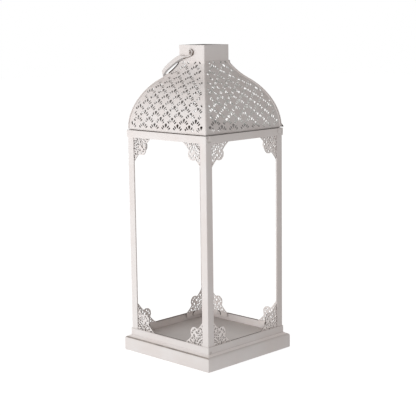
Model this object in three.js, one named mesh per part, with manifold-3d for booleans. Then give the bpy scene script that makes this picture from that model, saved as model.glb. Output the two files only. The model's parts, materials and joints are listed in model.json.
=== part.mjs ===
// Square garden lantern in painted sheet metal, in millimetres, +Z up.
// The origin is the centre of the base, on the surface that the lantern stands on.
// An open frame of four angle posts stands on a pan-shaped plinth. Pierced brackets fill its
// corners, four pierced and curved panels make the roof, and a strap bail swings on the neck.
import * as THREE from 'three';
import * as BufferGeometryUtils from 'three/addons/utils/BufferGeometryUtils.js';
import Module from 'manifold-3d';

const wasm = await Module();
wasm.setup();

// Sheet and clearances
const sheet = 0.8; // sheet of the posts, bands, brackets, roof and neck
const seatGap = 0.3; // clearance between pieces that rest on or lap each other

// Plinth
const plinthSide = 154;
const plinthHeight = 18.6;
const plinthSheet = 1.2;
const plinthEdgeRadius = 3.2; // rolled edge round the top plate
const plinthEdgeSteps = 4;
const plinthLip = 5; // flange turned inwards along the foot
const floorRise = 0.9; // the floor inside the frame is pressed up from the plinth's ledge
const floorFromTabs = 0.6; // from the raised floor to the tabs on the brackets

// Frame
const postSide = 139.4; // outer side of the square that the posts stand on
const postLeg = 10.3; // width of each leg of an angle post
const windowHeight = 251.3; // open height between the bands
const bottomBandHeight = 10.4;
const topBandHeight = 9.2;

// Corner brackets, measured from the inner edges of the post and the band
const bracketReach = 30.5; // how far a bracket runs along the post and along the band
const bracketLap = 5.5; // hidden strip behind the post and the band
const lobeCentre = 14.2; // centre of the round lobe, both ways
const lobeRadius = 7.6;
const lobeSteps = 5;
const notchAngle = 125; // where the lobe meets the long arcs, in degrees from the band's direction
const arcSag = 1.1; // depth of the long concave arcs
const arcSteps = 3;
const tabRadius = 5.2; // half-moon tab on the inner side of each lower bracket
const tabFromPost = 17;
const tabBelowWindow = 4.5;
const tabSteps = 4;
const lobeHoleRadius = 3;
const lobeHoleSides = 6;
const wedgeEnd = 0.9; // share of a wedge's length where it is cut off square
const petalWidest = 0.68; // share of a petal's length where it is widest
// Other holes of a bracket as [x, y, angle from straight up, inner radius, outer radius, width].
// The petal lies on the diagonal, and each wedge has a twin mirrored about it.
const bracketPetal = [0, 0, 45, 3.2, 12.4, 2.6];
const bracketWedges = [
  [0, 4.4, 34, 2.2, 9.6, 2.4],
  [0, 11, 24, 2, 8, 2.2],
  [1.1, 16.4, 6, 2, 6.4, 1.7],
];

// Roof profile: half side of the roof against height above its lower edge
const roofHeight = 83.3;
const roofInset = 2.2; // from the outer face of the top band to the roof's face
const hemTuck = 0.6; // the sheet's lower edge is tucked in over the posts
const hemHeight = 1.3; // height of the tucked edge
const roofWaistShare = 0.585; // half side where the curve turns hollow, as a share of the foot's
const roofWaistHeight = 62.4;
const roofWaistSlope = 0.77; // fall over run at the waist
const roofFullness = 28; // handle lengths of the two Bezier curves
const roofShoulder = 16;
const roofWaistHandle = 7.5;
const roofHollow = 8;
const neckSlope = 2.05;

// Pierced fans of the roof
const fanPitch = 20.7; // across a row
const fanRows = 12;
const hemMargin = 3.2; // plain strip above the tucked edge
const neckMargin = 5.4; // plain strip along the neck
const hipMargin = 5.8; // plain strip along each hip
const fanDrop = 1.9; // how far a fan's centre lies under its own row
const petalInner = 3.9;
const petalOuter = 9.1;
const petalWidth = 2.7;
const sidePetalWidth = 2.9;
const sidePetalAngle = 47; // from straight up, in degrees

// Strips along the hips, folded at two corners and creased at two, and tabs on the top band
const seamWidth = 1.7;
const seamProud = 0.9;
const creaseWidth = 1.5;
const creaseProud = 0.4;
const roofTabWidth = 6.4;
const roofTabHeight = 6.6;
const roofTabFromCorner = 7.5;

// Neck and bail
const neckSide = 44.6;
const neckHeight = 25.3; // from the hidden foot of the neck to its open top
const neckTuck = 2.5; // how far the neck reaches down inside the roof
const pivotBelowTop = 9.3;
const wireRadius = 0.85; // hooked end of the bail
const pivotClearance = 0.6; // play of the hook in its hole, on the radius
const pivotSides = 12;
const pinInside = 1.8; // how far the hook's tip shows inside the neck
const armClearance = 1.7; // from the neck's face to the strap
const strapWidth = 7.4;
const strapThickness = 1.4;
const strapOffset = 2.8; // the strap's middle lies off the plane through the pivots
const pinOutside = 0.5; // straight part of the pin outside the neck
const bendFlare = 0.6; // the bend swings this far past the plane of the hook
const bendLead = 1.6; // and comes onto the hook from this far forward
const hookRadius = 3.7;
const hookStartAngle = 90;
const hookEndAngle = 270;
const sweepLead = 9; // length of both handles of the curve from the hook to the strap
const flattenFrom = 5; // reach where the wire starts to flatten into the strap
const flattenTo = 24;
const bailReach = 76; // from the pivots to the crown of the bail
const bailArchStart = 25; // where the arms start to curve together
const bendSteps = 3;
const hookSteps = 5;
const sweepSteps = 5;
const archSteps = 9;
const restClearance = 0.35; // from the strap to the seams that it rests on
const steepestRest = 60; // bound for the search of the rest angle, in degrees
const restSearchSteps = 40;
const restSamples = 200;

// Levels and derived sizes
const bandSide = postSide + 2 * (seatGap + sheet);
const frameFoot = plinthHeight + seatGap;
const windowFoot = frameFoot + bottomBandHeight;
const windowTop = windowFoot + windowHeight;
const frameTop = windowTop + topBandHeight;
const roofFoot = frameTop + seatGap;
const roofTop = roofFoot + roofHeight;
const roofNeckHalf = neckSide / 2 + seatGap;
const neckFoot = roofTop - neckTuck;
const neckTop = neckFoot + neckHeight;
const pivotHeight = neckTop - pivotBelowTop;
const armHalf = neckSide / 2 + armClearance + strapThickness / 2;
const bracketOuter = postSide / 2 - sheet - seatGap; // outer face of the brackets
const bracketCornerEdge = bracketOuter - sheet - seatGap;
const floorHalf = bracketOuter - 2 * sheet - floorFromTabs; // foot of the raised floor's edge
const roofFootHalf = bandSide / 2 - roofInset; // half side of the roof along its lower edge
const roofWaistHalf = roofWaistShare * roofFootHalf;
const quarterTurn = Math.PI / 2;
const toRadians = THREE.MathUtils.degToRad;

const octagonCut = 1 - Math.tan(Math.PI / 8); // share of the half size cut from each corner
const weldDistance = 1e-4;

const paint = { color: 0xe6dedb, roughness: 0.55, metalness: 0 };
const lantern = new THREE.Group();

function addPiece(name, geometry, place = (mesh) => mesh) {
  const mesh = new THREE.Mesh(geometry, new THREE.MeshStandardMaterial(paint));
  mesh.name = name;
  place(mesh);
  lantern.add(mesh);
}

// Closed solids and booleans

function welded(geometry) {
  const bare = geometry.clone();
  bare.deleteAttribute('normal');
  bare.deleteAttribute('uv');
  return BufferGeometryUtils.mergeVertices(bare, weldDistance);
}

function toManifold(geometry) {
  const merged = welded(geometry);
  return new wasm.Manifold(
    new wasm.Mesh({
      numProp: 3,
      vertProperties: new Float32Array(merged.attributes.position.array),
      triVerts: new Uint32Array(merged.index.array),
    }),
  );
}

function fromManifold(solid) {
  const mesh = solid.getMesh();
  return indexedGeometry(mesh.vertProperties, mesh.triVerts);
}

function indexedGeometry(positions, triangles) {
  const geometry = new THREE.BufferGeometry();
  geometry.setAttribute('position', new THREE.BufferAttribute(new Float32Array(positions), 3));
  geometry.setIndex(Array.from(triangles));
  return geometry;
}

// A closed profile of [half side, height] points carried round a square
function squareTurn(profile) {
  const points = profile.map(([half, height]) => new THREE.Vector2(half * Math.SQRT2, height));
  if (profile[0][0] > 0) points.push(points[0].clone());
  const geometry = new THREE.LatheGeometry(points, 4, quarterTurn / 2);
  geometry.rotateX(quarterTurn);
  return geometry;
}

function squareRing(outerHalf, thickness, foot, top) {
  const innerHalf = outerHalf - thickness;
  return squareTurn([
    [outerHalf, foot],
    [outerHalf, top],
    [innerHalf, top],
    [innerHalf, foot],
  ]);
}

// Points of an arc, angles in degrees
function arcPoints(centreX, centreY, radius, start, end, steps) {
  return Array.from({ length: steps + 1 }, (_, i) => {
    const angle = toRadians(start + ((end - start) * i) / steps);
    return new THREE.Vector2(centreX + radius * Math.cos(angle), centreY + radius * Math.sin(angle));
  });
}

// Plinth: a pan turned upside down, with a rolled top edge, a raised floor and a flange at its foot
function plinthGeometry() {
  const half = plinthSide / 2;
  const inner = half - plinthSheet;
  const edgeHeight = plinthHeight - plinthEdgeRadius;
  const rolled = arcPoints(half - plinthEdgeRadius, edgeHeight, plinthEdgeRadius, 0, 90, plinthEdgeSteps);
  const under = plinthHeight - plinthSheet;
  const pressed = floorHalf - floorRise;
  const setIn = plinthSheet * Math.tan(Math.PI / 8); // keeps the sheet's thickness on the slope
  return squareTurn([
    [0, under + floorRise],
    [pressed - setIn, under + floorRise],
    [floorHalf - setIn, under],
    [inner - plinthEdgeRadius, under],
    [inner, under - plinthEdgeRadius],
    [inner, plinthSheet],
    [half - plinthLip, plinthSheet],
    [half - plinthLip, 0],
    [half, 0],
    ...rolled.map((point) => [point.x, point.y]),
    [floorHalf, plinthHeight],
    [pressed, plinthHeight + floorRise],
    [0, plinthHeight + floorRise],
  ]);
}

// Angle post in the corner at +X, +Y
function postGeometry() {
  const outer = postSide / 2;
  const edge = outer - postLeg;
  const shape = new THREE.Shape([
    new THREE.Vector2(outer, outer),
    new THREE.Vector2(edge, outer),
    new THREE.Vector2(edge, outer - sheet),
    new THREE.Vector2(outer - sheet, outer - sheet),
    new THREE.Vector2(outer - sheet, edge),
    new THREE.Vector2(outer, edge),
  ]);
  const geometry = new THREE.ExtrudeGeometry(shape, { depth: frameTop - frameFoot, bevelEnabled: false });
  geometry.translate(0, 0, frameFoot);
  return geometry;
}

// Gives the point at a radius from (x, y), in a direction in degrees from straight up, and aside
function petalFrame(x, y, angle) {
  const along = new THREE.Vector2(Math.sin(toRadians(angle)), Math.cos(toRadians(angle)));
  const across = new THREE.Vector2(along.y, -along.x);
  const centre = new THREE.Vector2(x, y);
  return (radius, aside) => centre.clone().addScaledVector(along, radius).addScaledVector(across, aside);
}

// A kite-shaped petal that points away from (x, y)
function petalPoints(x, y, angle, inner, outer, width) {
  const at = petalFrame(x, y, angle);
  const widest = THREE.MathUtils.lerp(inner, outer, petalWidest);
  return [at(inner, 0), at(widest, -width / 2), at(outer, 0), at(widest, width / 2)];
}

// A wedge-shaped petal, narrow towards (x, y)
function wedgePoints(x, y, angle, inner, outer, width) {
  const at = petalFrame(x, y, angle);
  const end = THREE.MathUtils.lerp(inner, outer, wedgeEnd);
  return [at(inner, 0), at(end, -width / 2), at(end, width / 2)];
}

// The edge of a bracket from the tip on the post, round the lobe, to the tip on the band
function bracketEdge() {
  const notch = arcPoints(lobeCentre, lobeCentre, lobeRadius, notchAngle, 90 - notchAngle, lobeSteps);
  const fromPost = saggingArc(new THREE.Vector2(0, bracketReach), notch[0]);
  const toBand = saggingArc(notch[notch.length - 1], new THREE.Vector2(bracketReach, 0));
  return [...fromPost.slice(0, -1), ...notch, ...toBand.slice(1)];
}

// A shallow arc between two points that bows towards the corner of the frame
function saggingArc(start, end) {
  const middle = start.clone().add(end).multiplyScalar(0.5);
  const chord = end.clone().sub(start);
  const towardsCorner = new THREE.Vector2(-chord.y, chord.x).normalize();
  if (towardsCorner.dot(middle) > 0) towardsCorner.negate();
  const control = middle.addScaledVector(towardsCorner, 2 * arcSag);
  return new THREE.QuadraticBezierCurve(start, control, end).getPoints(arcSteps);
}

function bracketHoles() {
  const lastSide = 360 * (1 - 1 / lobeHoleSides);
  const wedges = bracketWedges.map((wedge) => wedgePoints(...wedge));
  return [
    arcPoints(lobeCentre, lobeCentre, lobeHoleRadius, 0, lastSide, lobeHoleSides - 1),
    petalPoints(...bracketPetal),
    ...wedges,
    ...wedges.map((points) => points.map((point) => new THREE.Vector2(point.y, point.x))),
  ];
}

// A bracket as a flat plate, its corner towards the origin
function bracketShape() {
  const hidden = postSide / 2 - postLeg - bracketCornerEdge;
  const outline = [
    new THREE.Vector2(hidden, -bracketLap),
    new THREE.Vector2(bracketReach, -bracketLap),
    ...bracketEdge().reverse(),
    new THREE.Vector2(hidden, bracketReach),
  ];
  const shape = new THREE.Shape(outline);
  shape.holes = bracketHoles().map((points) => new THREE.Path(points));
  return shape;
}

function bracketGeometry(withTab) {
  const plate = new THREE.ExtrudeGeometry(bracketShape(), { depth: sheet, bevelEnabled: false });
  if (!withTab) return plate;
  const tabShape = new THREE.Shape(arcPoints(tabFromPost, -tabBelowWindow, tabRadius, 0, 180, tabSteps));
  const tab = new THREE.ExtrudeGeometry(tabShape, { depth: 2 * sheet, bevelEnabled: false });
  return fromManifold(toManifold(plate).add(toManifold(tab)));
}

// Puts a bracket plate on the face at -Y. The plate's own X runs from the post towards the
// middle of the window, its Y from the band, and its depth inwards.
function placeBracket(geometry, side, upper) {
  const matrix = new THREE.Matrix4();
  const along = new THREE.Vector3(-side, 0, 0);
  const up = new THREE.Vector3(0, 0, upper ? -1 : 1);
  const inwards = new THREE.Vector3(0, 1, 0);
  matrix.makeBasis(along, up, inwards);
  matrix.setPosition(side * (postSide / 2 - postLeg), -bracketOuter, upper ? windowTop : windowFoot);
  const placed = geometry.clone().applyMatrix4(matrix);
  return matrix.determinant() < 0 ? turnedOut(placed) : placed;
}

// Reverses the winding of every triangle, after a mirror
function turnedOut(geometry) {
  const merged = welded(geometry);
  const index = merged.index.array;
  const flipped = Array.from(index, (_, i) => index[3 * Math.floor(i / 3) + ((3 - (i % 3)) % 3)]);
  merged.setIndex(flipped);
  return merged;
}

// Roof profile as one path of [half side, height], from above the tucked edge to the neck
const roofProfile = (() => {
  const waist = new THREE.Vector2(roofWaistHalf, roofFoot + roofWaistHeight);
  const foot = new THREE.Vector2(roofFootHalf, roofFoot + hemHeight);
  const top = new THREE.Vector2(roofNeckHalf, roofTop);
  const fall = new THREE.Vector2(1, -roofWaistSlope).normalize();
  const neckFall = new THREE.Vector2(1, -neckSlope).normalize();
  const path = new THREE.CurvePath();
  path.add(
    new THREE.CubicBezierCurve(
      foot,
      foot.clone().add(new THREE.Vector2(0, roofFullness)),
      waist.clone().addScaledVector(fall, roofShoulder),
      waist,
    ),
  );
  path.add(
    new THREE.CubicBezierCurve(
      waist,
      waist.clone().addScaledVector(fall, -roofWaistHandle),
      top.clone().addScaledVector(neckFall, roofHollow),
      top,
    ),
  );
  return path;
})();

// Fold lines of the roof, so that each row of fans lies on one flat facet. The tucked edge and
// a plain strip come before the first row.
const firstFanStrip = 2;
const roofFolds = (() => {
  const length = roofProfile.getLength();
  const rowHeight = (length - hemMargin - neckMargin) / fanRows;
  const distances = [0];
  for (let row = 0; row <= fanRows; row += 1) distances.push(hemMargin + row * rowHeight);
  distances.push(length);
  const edge = { distance: -hemHeight, point: new THREE.Vector2(roofFootHalf - hemTuck, roofFoot) };
  const onCurve = (distance) => ({ distance, point: roofProfile.getPointAt(distance / length) });
  return [edge, ...distances.map(onCurve)];
})();

// Where the line through start and end, moved inwards by a distance, crosses another such line
function offsetFolds(points, distance) {
  const lines = points.slice(1).map((end, i) => {
    const direction = end.clone().sub(points[i]).normalize();
    const inward = new THREE.Vector2(-direction.y, direction.x);
    return { origin: points[i].clone().addScaledVector(inward, distance), direction };
  });
  const level = { origin: points[0].clone(), direction: new THREE.Vector2(1, 0) };
  const upright = { origin: points[points.length - 1].clone(), direction: new THREE.Vector2(0, 1) };
  const all = [level, ...lines, upright];
  return points.map((_, i) => crossing(all[i], all[i + 1]));
}

function crossing(first, second) {
  const between = second.origin.clone().sub(first.origin);
  const scale = between.cross(second.direction) / first.direction.cross(second.direction);
  return first.origin.clone().addScaledVector(first.direction, scale);
}

// Holes of one row of fans, as loops of (across, distance up the roof)
function fanHoles(row) {
  const low = roofFolds[firstFanStrip + row];
  const high = roofFolds[firstFanStrip + row + 1];
  const halfAt = (up) => {
    const share = (up - low.distance) / (high.distance - low.distance);
    return THREE.MathUtils.lerp(low.point.x, high.point.x, share);
  };
  const stagger = row % 2 === 0 ? 0 : fanPitch / 2;
  const reach = Math.ceil((low.point.x + fanPitch) / fanPitch);
  const centre = low.distance - fanDrop;
  const holes = [];
  for (let fan = -reach; fan <= reach; fan += 1) {
    const x = fan * fanPitch + stagger;
    const petals = [
      petalPoints(x, centre, 0, petalInner, petalOuter, petalWidth),
      wedgePoints(x, centre, sidePetalAngle, petalInner, petalOuter, sidePetalWidth),
      wedgePoints(x, centre, -sidePetalAngle, petalInner, petalOuter, sidePetalWidth),
    ];
    const fits = petals.flat().every((point) => Math.abs(point.x) <= halfAt(point.y) - hipMargin);
    if (fits) holes.push(...petals);
  }
  return holes;
}

// One roof panel, facing -Y: a folded sheet, mitred along the hips and pierced row by row
function roofPanelGeometry() {
  const hipGap = seatGap / Math.SQRT2;
  const outer = roofFolds.map((fold) => fold.point);
  const inner = offsetFolds(outer, sheet);
  const positions = [];
  const triangles = [];
  const addVertex = (x, point) => positions.push(x, -point.x, point.y) / 3 - 1;
  const ends = outer.map((point, i) =>
    [-1, 1].map((side) => ({
      front: addVertex(side * (point.x - hipGap), point),
      back: addVertex(side * (inner[i].x - hipGap), inner[i]),
    })),
  );
  const wall = (start, end) => {
    triangles.push(start.front, start.back, end.front, end.front, start.back, end.back);
  };
  const strips = roofFolds.length - 1;
  for (let strip = 0; strip < strips; strip += 1) {
    const low = roofFolds[strip];
    const high = roofFolds[strip + 1];
    const contour = [
      new THREE.Vector2(-low.point.x, low.distance),
      new THREE.Vector2(low.point.x, low.distance),
      new THREE.Vector2(high.point.x, high.distance),
      new THREE.Vector2(-high.point.x, high.distance),
    ];
    const corners = [ends[strip][0], ends[strip][1], ends[strip + 1][1], ends[strip + 1][0]];
    const row = strip - firstFanStrip;
    const loops = (row >= 0 && row < fanRows ? fanHoles(row) : []).map((loop) =>
      THREE.ShapeUtils.isClockWise(loop) ? loop : loop.reverse(),
    );
    const holeVertices = loops.map((loop) =>
      loop.map((point) => {
        const share = (point.y - low.distance) / (high.distance - low.distance);
        return {
          front: addVertex(point.x, low.point.clone().lerp(high.point, share)),
          back: addVertex(point.x, inner[strip].clone().lerp(inner[strip + 1], share)),
        };
      }),
    );
    const all = [...corners, ...holeVertices.flat()];
    for (const [a, b, c] of THREE.ShapeUtils.triangulateShape(contour, loops)) {
      triangles.push(all[a].front, all[b].front, all[c].front);
      triangles.push(all[a].back, all[c].back, all[b].back);
    }
    wall(corners[1], corners[2]);
    wall(corners[3], corners[0]);
    if (strip === 0) wall(corners[0], corners[1]);
    if (strip === strips - 1) wall(corners[2], corners[3]);
    for (const loop of holeVertices) {
      loop.forEach((vertex, i) => wall(vertex, loop[(i + 1) % loop.length]));
    }
  }
  return indexedGeometry(positions, triangles);
}

// Closed body through a row of rings with the same number of points
function loftGeometry(rings) {
  const count = rings[0].length;
  const positions = rings.flat().flatMap((point) => [point.x, point.y, point.z]);
  const triangles = [];
  for (let ring = 0; ring < rings.length - 1; ring += 1) {
    for (let i = 0; i < count; i += 1) {
      const next = (i + 1) % count;
      const a = ring * count + i;
      const b = ring * count + next;
      triangles.push(a, b, a + count, b, b + count, a + count);
    }
  }
  const last = (rings.length - 1) * count;
  for (let i = 1; i < count - 1; i += 1) {
    triangles.push(0, i + 1, i);
    triangles.push(last, last + i, last + i + 1);
  }
  return indexedGeometry(positions, triangles);
}

// Height of the roof's hip where its half side has a value, on the flat facets
function hipHeight(half) {
  for (let i = 0; i < roofFolds.length - 1; i += 1) {
    const low = roofFolds[i].point;
    const high = roofFolds[i + 1].point;
    if (half <= low.x && half >= high.x) {
      return THREE.MathUtils.mapLinear(half, low.x, high.x, low.y, high.y);
    }
  }
  return half > roofFootHalf ? roofFoot : roofTop;
}

// A flat strip along the hip at +X, -Y that lies over the joint of two panels
function hipStripGeometry(width, proud) {
  const across = new THREE.Vector3(1, 1, 0).normalize();
  const outwards = new THREE.Vector3(1, -1, 0).normalize();
  const folds = roofFolds.slice(1);
  const rings = folds.map(({ point }, i) => {
    const before = folds[Math.max(i - 1, 0)].point;
    const after = folds[Math.min(i + 1, folds.length - 1)].point;
    const run = (after.x - before.x) * Math.SQRT2;
    const tangent = outwards.clone().multiplyScalar(run).setZ(after.y - before.y).normalize();
    const normal = new THREE.Vector3().crossVectors(tangent, across).normalize();
    if (normal.dot(outwards) < 0) normal.negate();
    const base = new THREE.Vector3(point.x, -point.x, point.y);
    const low = base.clone().addScaledVector(normal, seatGap);
    const high = base.clone().addScaledVector(normal, seatGap + proud);
    const half = width / 2;
    return [
      low.clone().addScaledVector(across, -half),
      high.clone().addScaledVector(across, -half),
      high.clone().addScaledVector(across, half),
      low.clone().addScaledVector(across, half),
    ];
  });
  return loftGeometry(rings);
}

// Neck: a square tube, open at both ends, with a hole for the bail in each of two faces
function neckGeometry() {
  const tube = toManifold(squareRing(neckSide / 2, sheet, neckFoot, neckTop));
  const holeRadius = wireRadius + pivotClearance;
  const drill = new THREE.CylinderGeometry(holeRadius, holeRadius, 2 * neckSide, pivotSides);
  drill.translate(0, 0, pivotHeight);
  return fromManifold(tube.subtract(toManifold(drill)));
}

// Middle line of the bail, from one hook's tip to the crown, in the bail's own frame: X runs
// from the crown to the pivots, Y along the pivots, Z off the plane of the strap.
function bailHalfPath() {
  const at = (reach, offset, y) => new THREE.Vector3(-reach, y, offset);
  const onHook = (degrees) => {
    const angle = toRadians(degrees);
    return at(hookRadius * Math.cos(angle), hookRadius * Math.sin(angle), -armHalf);
  };
  const tip = at(0, 0, -(neckSide / 2 - sheet - pinInside));
  const mouth = at(0, 0, -(neckSide / 2 + pinOutside));
  const hookStart = onHook(hookStartAngle);
  const hookEnd = onHook(hookEndAngle);
  const strapStart = at(bailArchStart, strapOffset, -armHalf);
  const bend = new THREE.CubicBezierCurve3(
    mouth,
    at(0, 0, -armHalf - bendFlare),
    at(bendLead, hookRadius, -armHalf),
    hookStart,
  );
  const sweep = new THREE.CubicBezierCurve3(
    hookEnd,
    at(sweepLead, -hookRadius, -armHalf),
    at(bailArchStart - sweepLead, strapOffset, -armHalf),
    strapStart,
  );
  const hook = Array.from({ length: hookSteps + 1 }, (_, i) =>
    onHook(THREE.MathUtils.lerp(hookStartAngle, hookEndAngle, i / hookSteps)),
  );
  const arch = Array.from({ length: archSteps }, (_, i) => {
    const angle = (quarterTurn * i) / archSteps;
    const reach = bailArchStart + (bailReach - bailArchStart) * Math.sin(angle);
    return at(reach, strapOffset, -armHalf * Math.cos(angle));
  });
  const wire = [tip, ...bend.getPoints(bendSteps), ...hook.slice(1)];
  const strap = [...sweep.getPoints(sweepSteps).slice(1, -1), ...arch];
  return { wire, strap };
}

// Half the width of the bail's section: a round wire at the hook that flattens into the strap
function bailSection(reach) {
  const share = THREE.MathUtils.smoothstep(reach, flattenFrom, flattenTo);
  const halfWidth = THREE.MathUtils.lerp(wireRadius, strapWidth / 2, share);
  const halfThickness = THREE.MathUtils.lerp(wireRadius, strapThickness / 2, share);
  return { halfWidth, halfThickness, chamfer: octagonCut * Math.min(halfWidth, halfThickness) };
}

function bailGeometry() {
  const { wire, strap } = bailHalfPath();
  const half = [...wire, ...strap];
  const crown = new THREE.Vector3(-bailReach, 0, strapOffset);
  const mirrored = half.map((point) => new THREE.Vector3(point.x, -point.y, point.z)).reverse();
  const path = [...half, crown, ...mirrored];
  const middle = half.length;
  const tangentAt = (i) => {
    const before = path[Math.max(i - 1, 0)];
    const after = path[Math.min(i + 1, path.length - 1)];
    return after.clone().sub(before).normalize();
  };
  const widthAxes = new Array(path.length);
  widthAxes[middle] = new THREE.Vector3(0, 0, 1);
  const carry = (from, to) => {
    const turn = new THREE.Quaternion().setFromUnitVectors(tangentAt(from), tangentAt(to));
    widthAxes[to] = widthAxes[from].clone().applyQuaternion(turn);
  };
  for (let i = middle; i < path.length - 1; i += 1) carry(i, i + 1);
  for (let i = middle; i > 0; i -= 1) carry(i, i - 1);
  const rings = path.map((centre, i) => {
    const onWire = Math.min(i, path.length - 1 - i) < wire.length;
    const { halfWidth, halfThickness, chamfer } = bailSection(onWire ? 0 : -centre.x);
    const width = widthAxes[i];
    const side = new THREE.Vector3().crossVectors(tangentAt(i), width).normalize();
    const corner = (w, s) => centre.clone().addScaledVector(width, w).addScaledVector(side, s);
    const flat = halfWidth - chamfer;
    const edge = halfThickness - chamfer;
    return [
      corner(flat, halfThickness),
      corner(-flat, halfThickness),
      corner(-halfWidth, edge),
      corner(-halfWidth, -edge),
      corner(-flat, -halfThickness),
      corner(flat, -halfThickness),
      corner(halfWidth, -edge),
      corner(halfWidth, edge),
    ];
  });
  return loftGeometry(rings);
}

// Angle below level at which the strap comes to rest on the hip seams
function bailRestAngle() {
  const lowerEdge = strapOffset - strapWidth / 2;
  const seamTop = seatGap + seamProud;
  const nearest = armHalf - strapThickness;
  const clearanceAt = (angle) => {
    let least = Infinity;
    for (let i = 0; i <= restSamples; i += 1) {
      const reach = THREE.MathUtils.lerp(nearest, bailReach, i / restSamples);
      const strapHeight = pivotHeight - reach * Math.tan(angle) + lowerEdge / Math.cos(angle);
      const ridge = hipHeight(reach) + seamTop;
      least = Math.min(least, (strapHeight - ridge) * Math.cos(angle));
    }
    return least;
  };
  let high = 0;
  let low = toRadians(steepestRest);
  for (let i = 0; i < restSearchSteps; i += 1) {
    const middle = (high + low) / 2;
    if (clearanceAt(middle) > restClearance) high = middle;
    else low = middle;
  }
  return high;
}

// Assembly

addPiece('base_plinth', plinthGeometry());
addPiece('bottom_band', squareRing(bandSide / 2, sheet, frameFoot, windowFoot));
addPiece('top_band', squareRing(bandSide / 2, sheet, windowTop, frameTop));

const corners = ['back_right', 'back_left', 'front_left', 'front_right'];
corners.forEach((corner, i) => {
  addPiece(`corner_post_${corner}`, postGeometry(), (mesh) => {
    mesh.rotation.z = i * quarterTurn;
  });
});

const hips = ['hip_seam_back_right', 'hip_crease_back_left', 'hip_seam_front_left', 'hip_crease_front_right'];
hips.forEach((name, i) => {
  const folded = name.includes('seam');
  const strip = folded ? hipStripGeometry(seamWidth, seamProud) : hipStripGeometry(creaseWidth, creaseProud);
  addPiece(name, strip, (mesh) => {
    mesh.rotation.z = (i + 1) * quarterTurn;
  });
});

const plainBracket = bracketGeometry(false);
const tabbedBracket = bracketGeometry(true);
const faces = ['front', 'right', 'back', 'left'];
faces.forEach((face, i) => {
  const turn = (mesh) => {
    mesh.rotation.z = i * quarterTurn;
  };
  for (const [level, upper] of [['upper', true], ['lower', false]]) {
    for (const [hand, side] of [['left', -1], ['right', 1]]) {
      const plate = upper ? plainBracket : tabbedBracket;
      addPiece(`bracket_${face}_${level}_${hand}`, placeBracket(plate, side, upper), turn);
    }
  }
  addPiece(`roof_panel_${face}`, roofPanelGeometry(), turn);
});

for (const [face, turns] of [['right', 1], ['left', 3]]) {
  for (const [hand, side] of [['left', -1], ['right', 1]]) {
    const tab = new THREE.BoxGeometry(roofTabWidth, sheet, roofTabHeight);
    const fromMiddle = bandSide / 2 - roofTabFromCorner;
    tab.translate(side * fromMiddle, -(bandSide / 2 + seatGap + sheet / 2), frameTop - roofTabHeight / 2);
    addPiece(`roof_tab_${face}_${hand}`, tab, (mesh) => {
      mesh.rotation.z = turns * quarterTurn;
    });
  }
}

addPiece('neck_collar', neckGeometry());
addPiece('bail_handle', bailGeometry(), (mesh) => {
  mesh.position.set(0, 0, pivotHeight);
  mesh.rotation.y = -bailRestAngle();
});

export default lantern;
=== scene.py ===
"""Looks of a square garden lantern in painted sheet metal, built around its CAD frame.

The roof, brackets, neck, plinth, posts and bail are rebuilt with their fine shapes in the places
that the frame gives. All lengths in the code are metres, and the frame's own axes are used.
"""

import json
import math

import bmesh
import bpy
import numpy as np
from mathutils import Matrix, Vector
from mathutils.geometry import delaunay_2d_cdt


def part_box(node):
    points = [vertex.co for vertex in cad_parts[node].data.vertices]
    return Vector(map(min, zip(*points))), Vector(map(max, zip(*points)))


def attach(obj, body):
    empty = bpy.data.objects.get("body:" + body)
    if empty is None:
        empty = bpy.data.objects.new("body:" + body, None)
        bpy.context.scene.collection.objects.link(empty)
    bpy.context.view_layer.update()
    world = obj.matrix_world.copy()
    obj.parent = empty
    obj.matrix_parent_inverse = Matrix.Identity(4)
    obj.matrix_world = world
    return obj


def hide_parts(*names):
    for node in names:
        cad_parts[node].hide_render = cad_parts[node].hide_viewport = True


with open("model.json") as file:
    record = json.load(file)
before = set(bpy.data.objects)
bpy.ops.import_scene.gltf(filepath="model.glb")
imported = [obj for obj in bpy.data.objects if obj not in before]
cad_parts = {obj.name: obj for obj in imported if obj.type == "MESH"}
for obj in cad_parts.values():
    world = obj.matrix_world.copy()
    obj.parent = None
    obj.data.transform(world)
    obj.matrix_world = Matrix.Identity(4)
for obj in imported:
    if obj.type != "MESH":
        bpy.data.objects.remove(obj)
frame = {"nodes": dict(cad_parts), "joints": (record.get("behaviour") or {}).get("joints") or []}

bl_info = {
    "name": "Garden lantern finish",
    "version": (1, 0, 0),
    "blender": (4, 5, 0),
    "location": "3D View > Sidebar > Lantern",
    "description": "Pierced sheets, fittings, paint and stage of a square metal lantern",
    "category": "Object",
}

MM = 0.001
FACES = ("front", "right", "back", "left")


def box_of(node):
    """Lowest and highest corner of a frame node as arrays."""
    low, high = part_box(node)
    return np.array(low), np.array(high)


ROOF_LOW, ROOF_HIGH = box_of("roof_panel_front")
NECK_LOW, NECK_HIGH = box_of("neck_collar")
PLINTH_HIGH = box_of("base_plinth")[1]
TOP_LOW, TOP_HIGH = box_of("top_band")
BOTTOM_LOW, BOTTOM_HIGH = box_of("bottom_band")
POST_LOW, POST_HIGH = box_of("corner_post_back_right")
BRACKET_LOW, BRACKET_HIGH = box_of("bracket_front_lower_left")
CLIP_LOW, CLIP_HIGH = box_of("roof_tab_right_left")
PIVOT = np.array([j["pos_m"] for j in frame["joints"] if j["name"] == "bail_swing"][0])
# The inner edge of a post's legs, from the lantern's middle, and the sheet of posts, bands and neck
POST_EDGE, FRAME_SHEET = POST_LOW[0], 0.8 * MM


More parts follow.
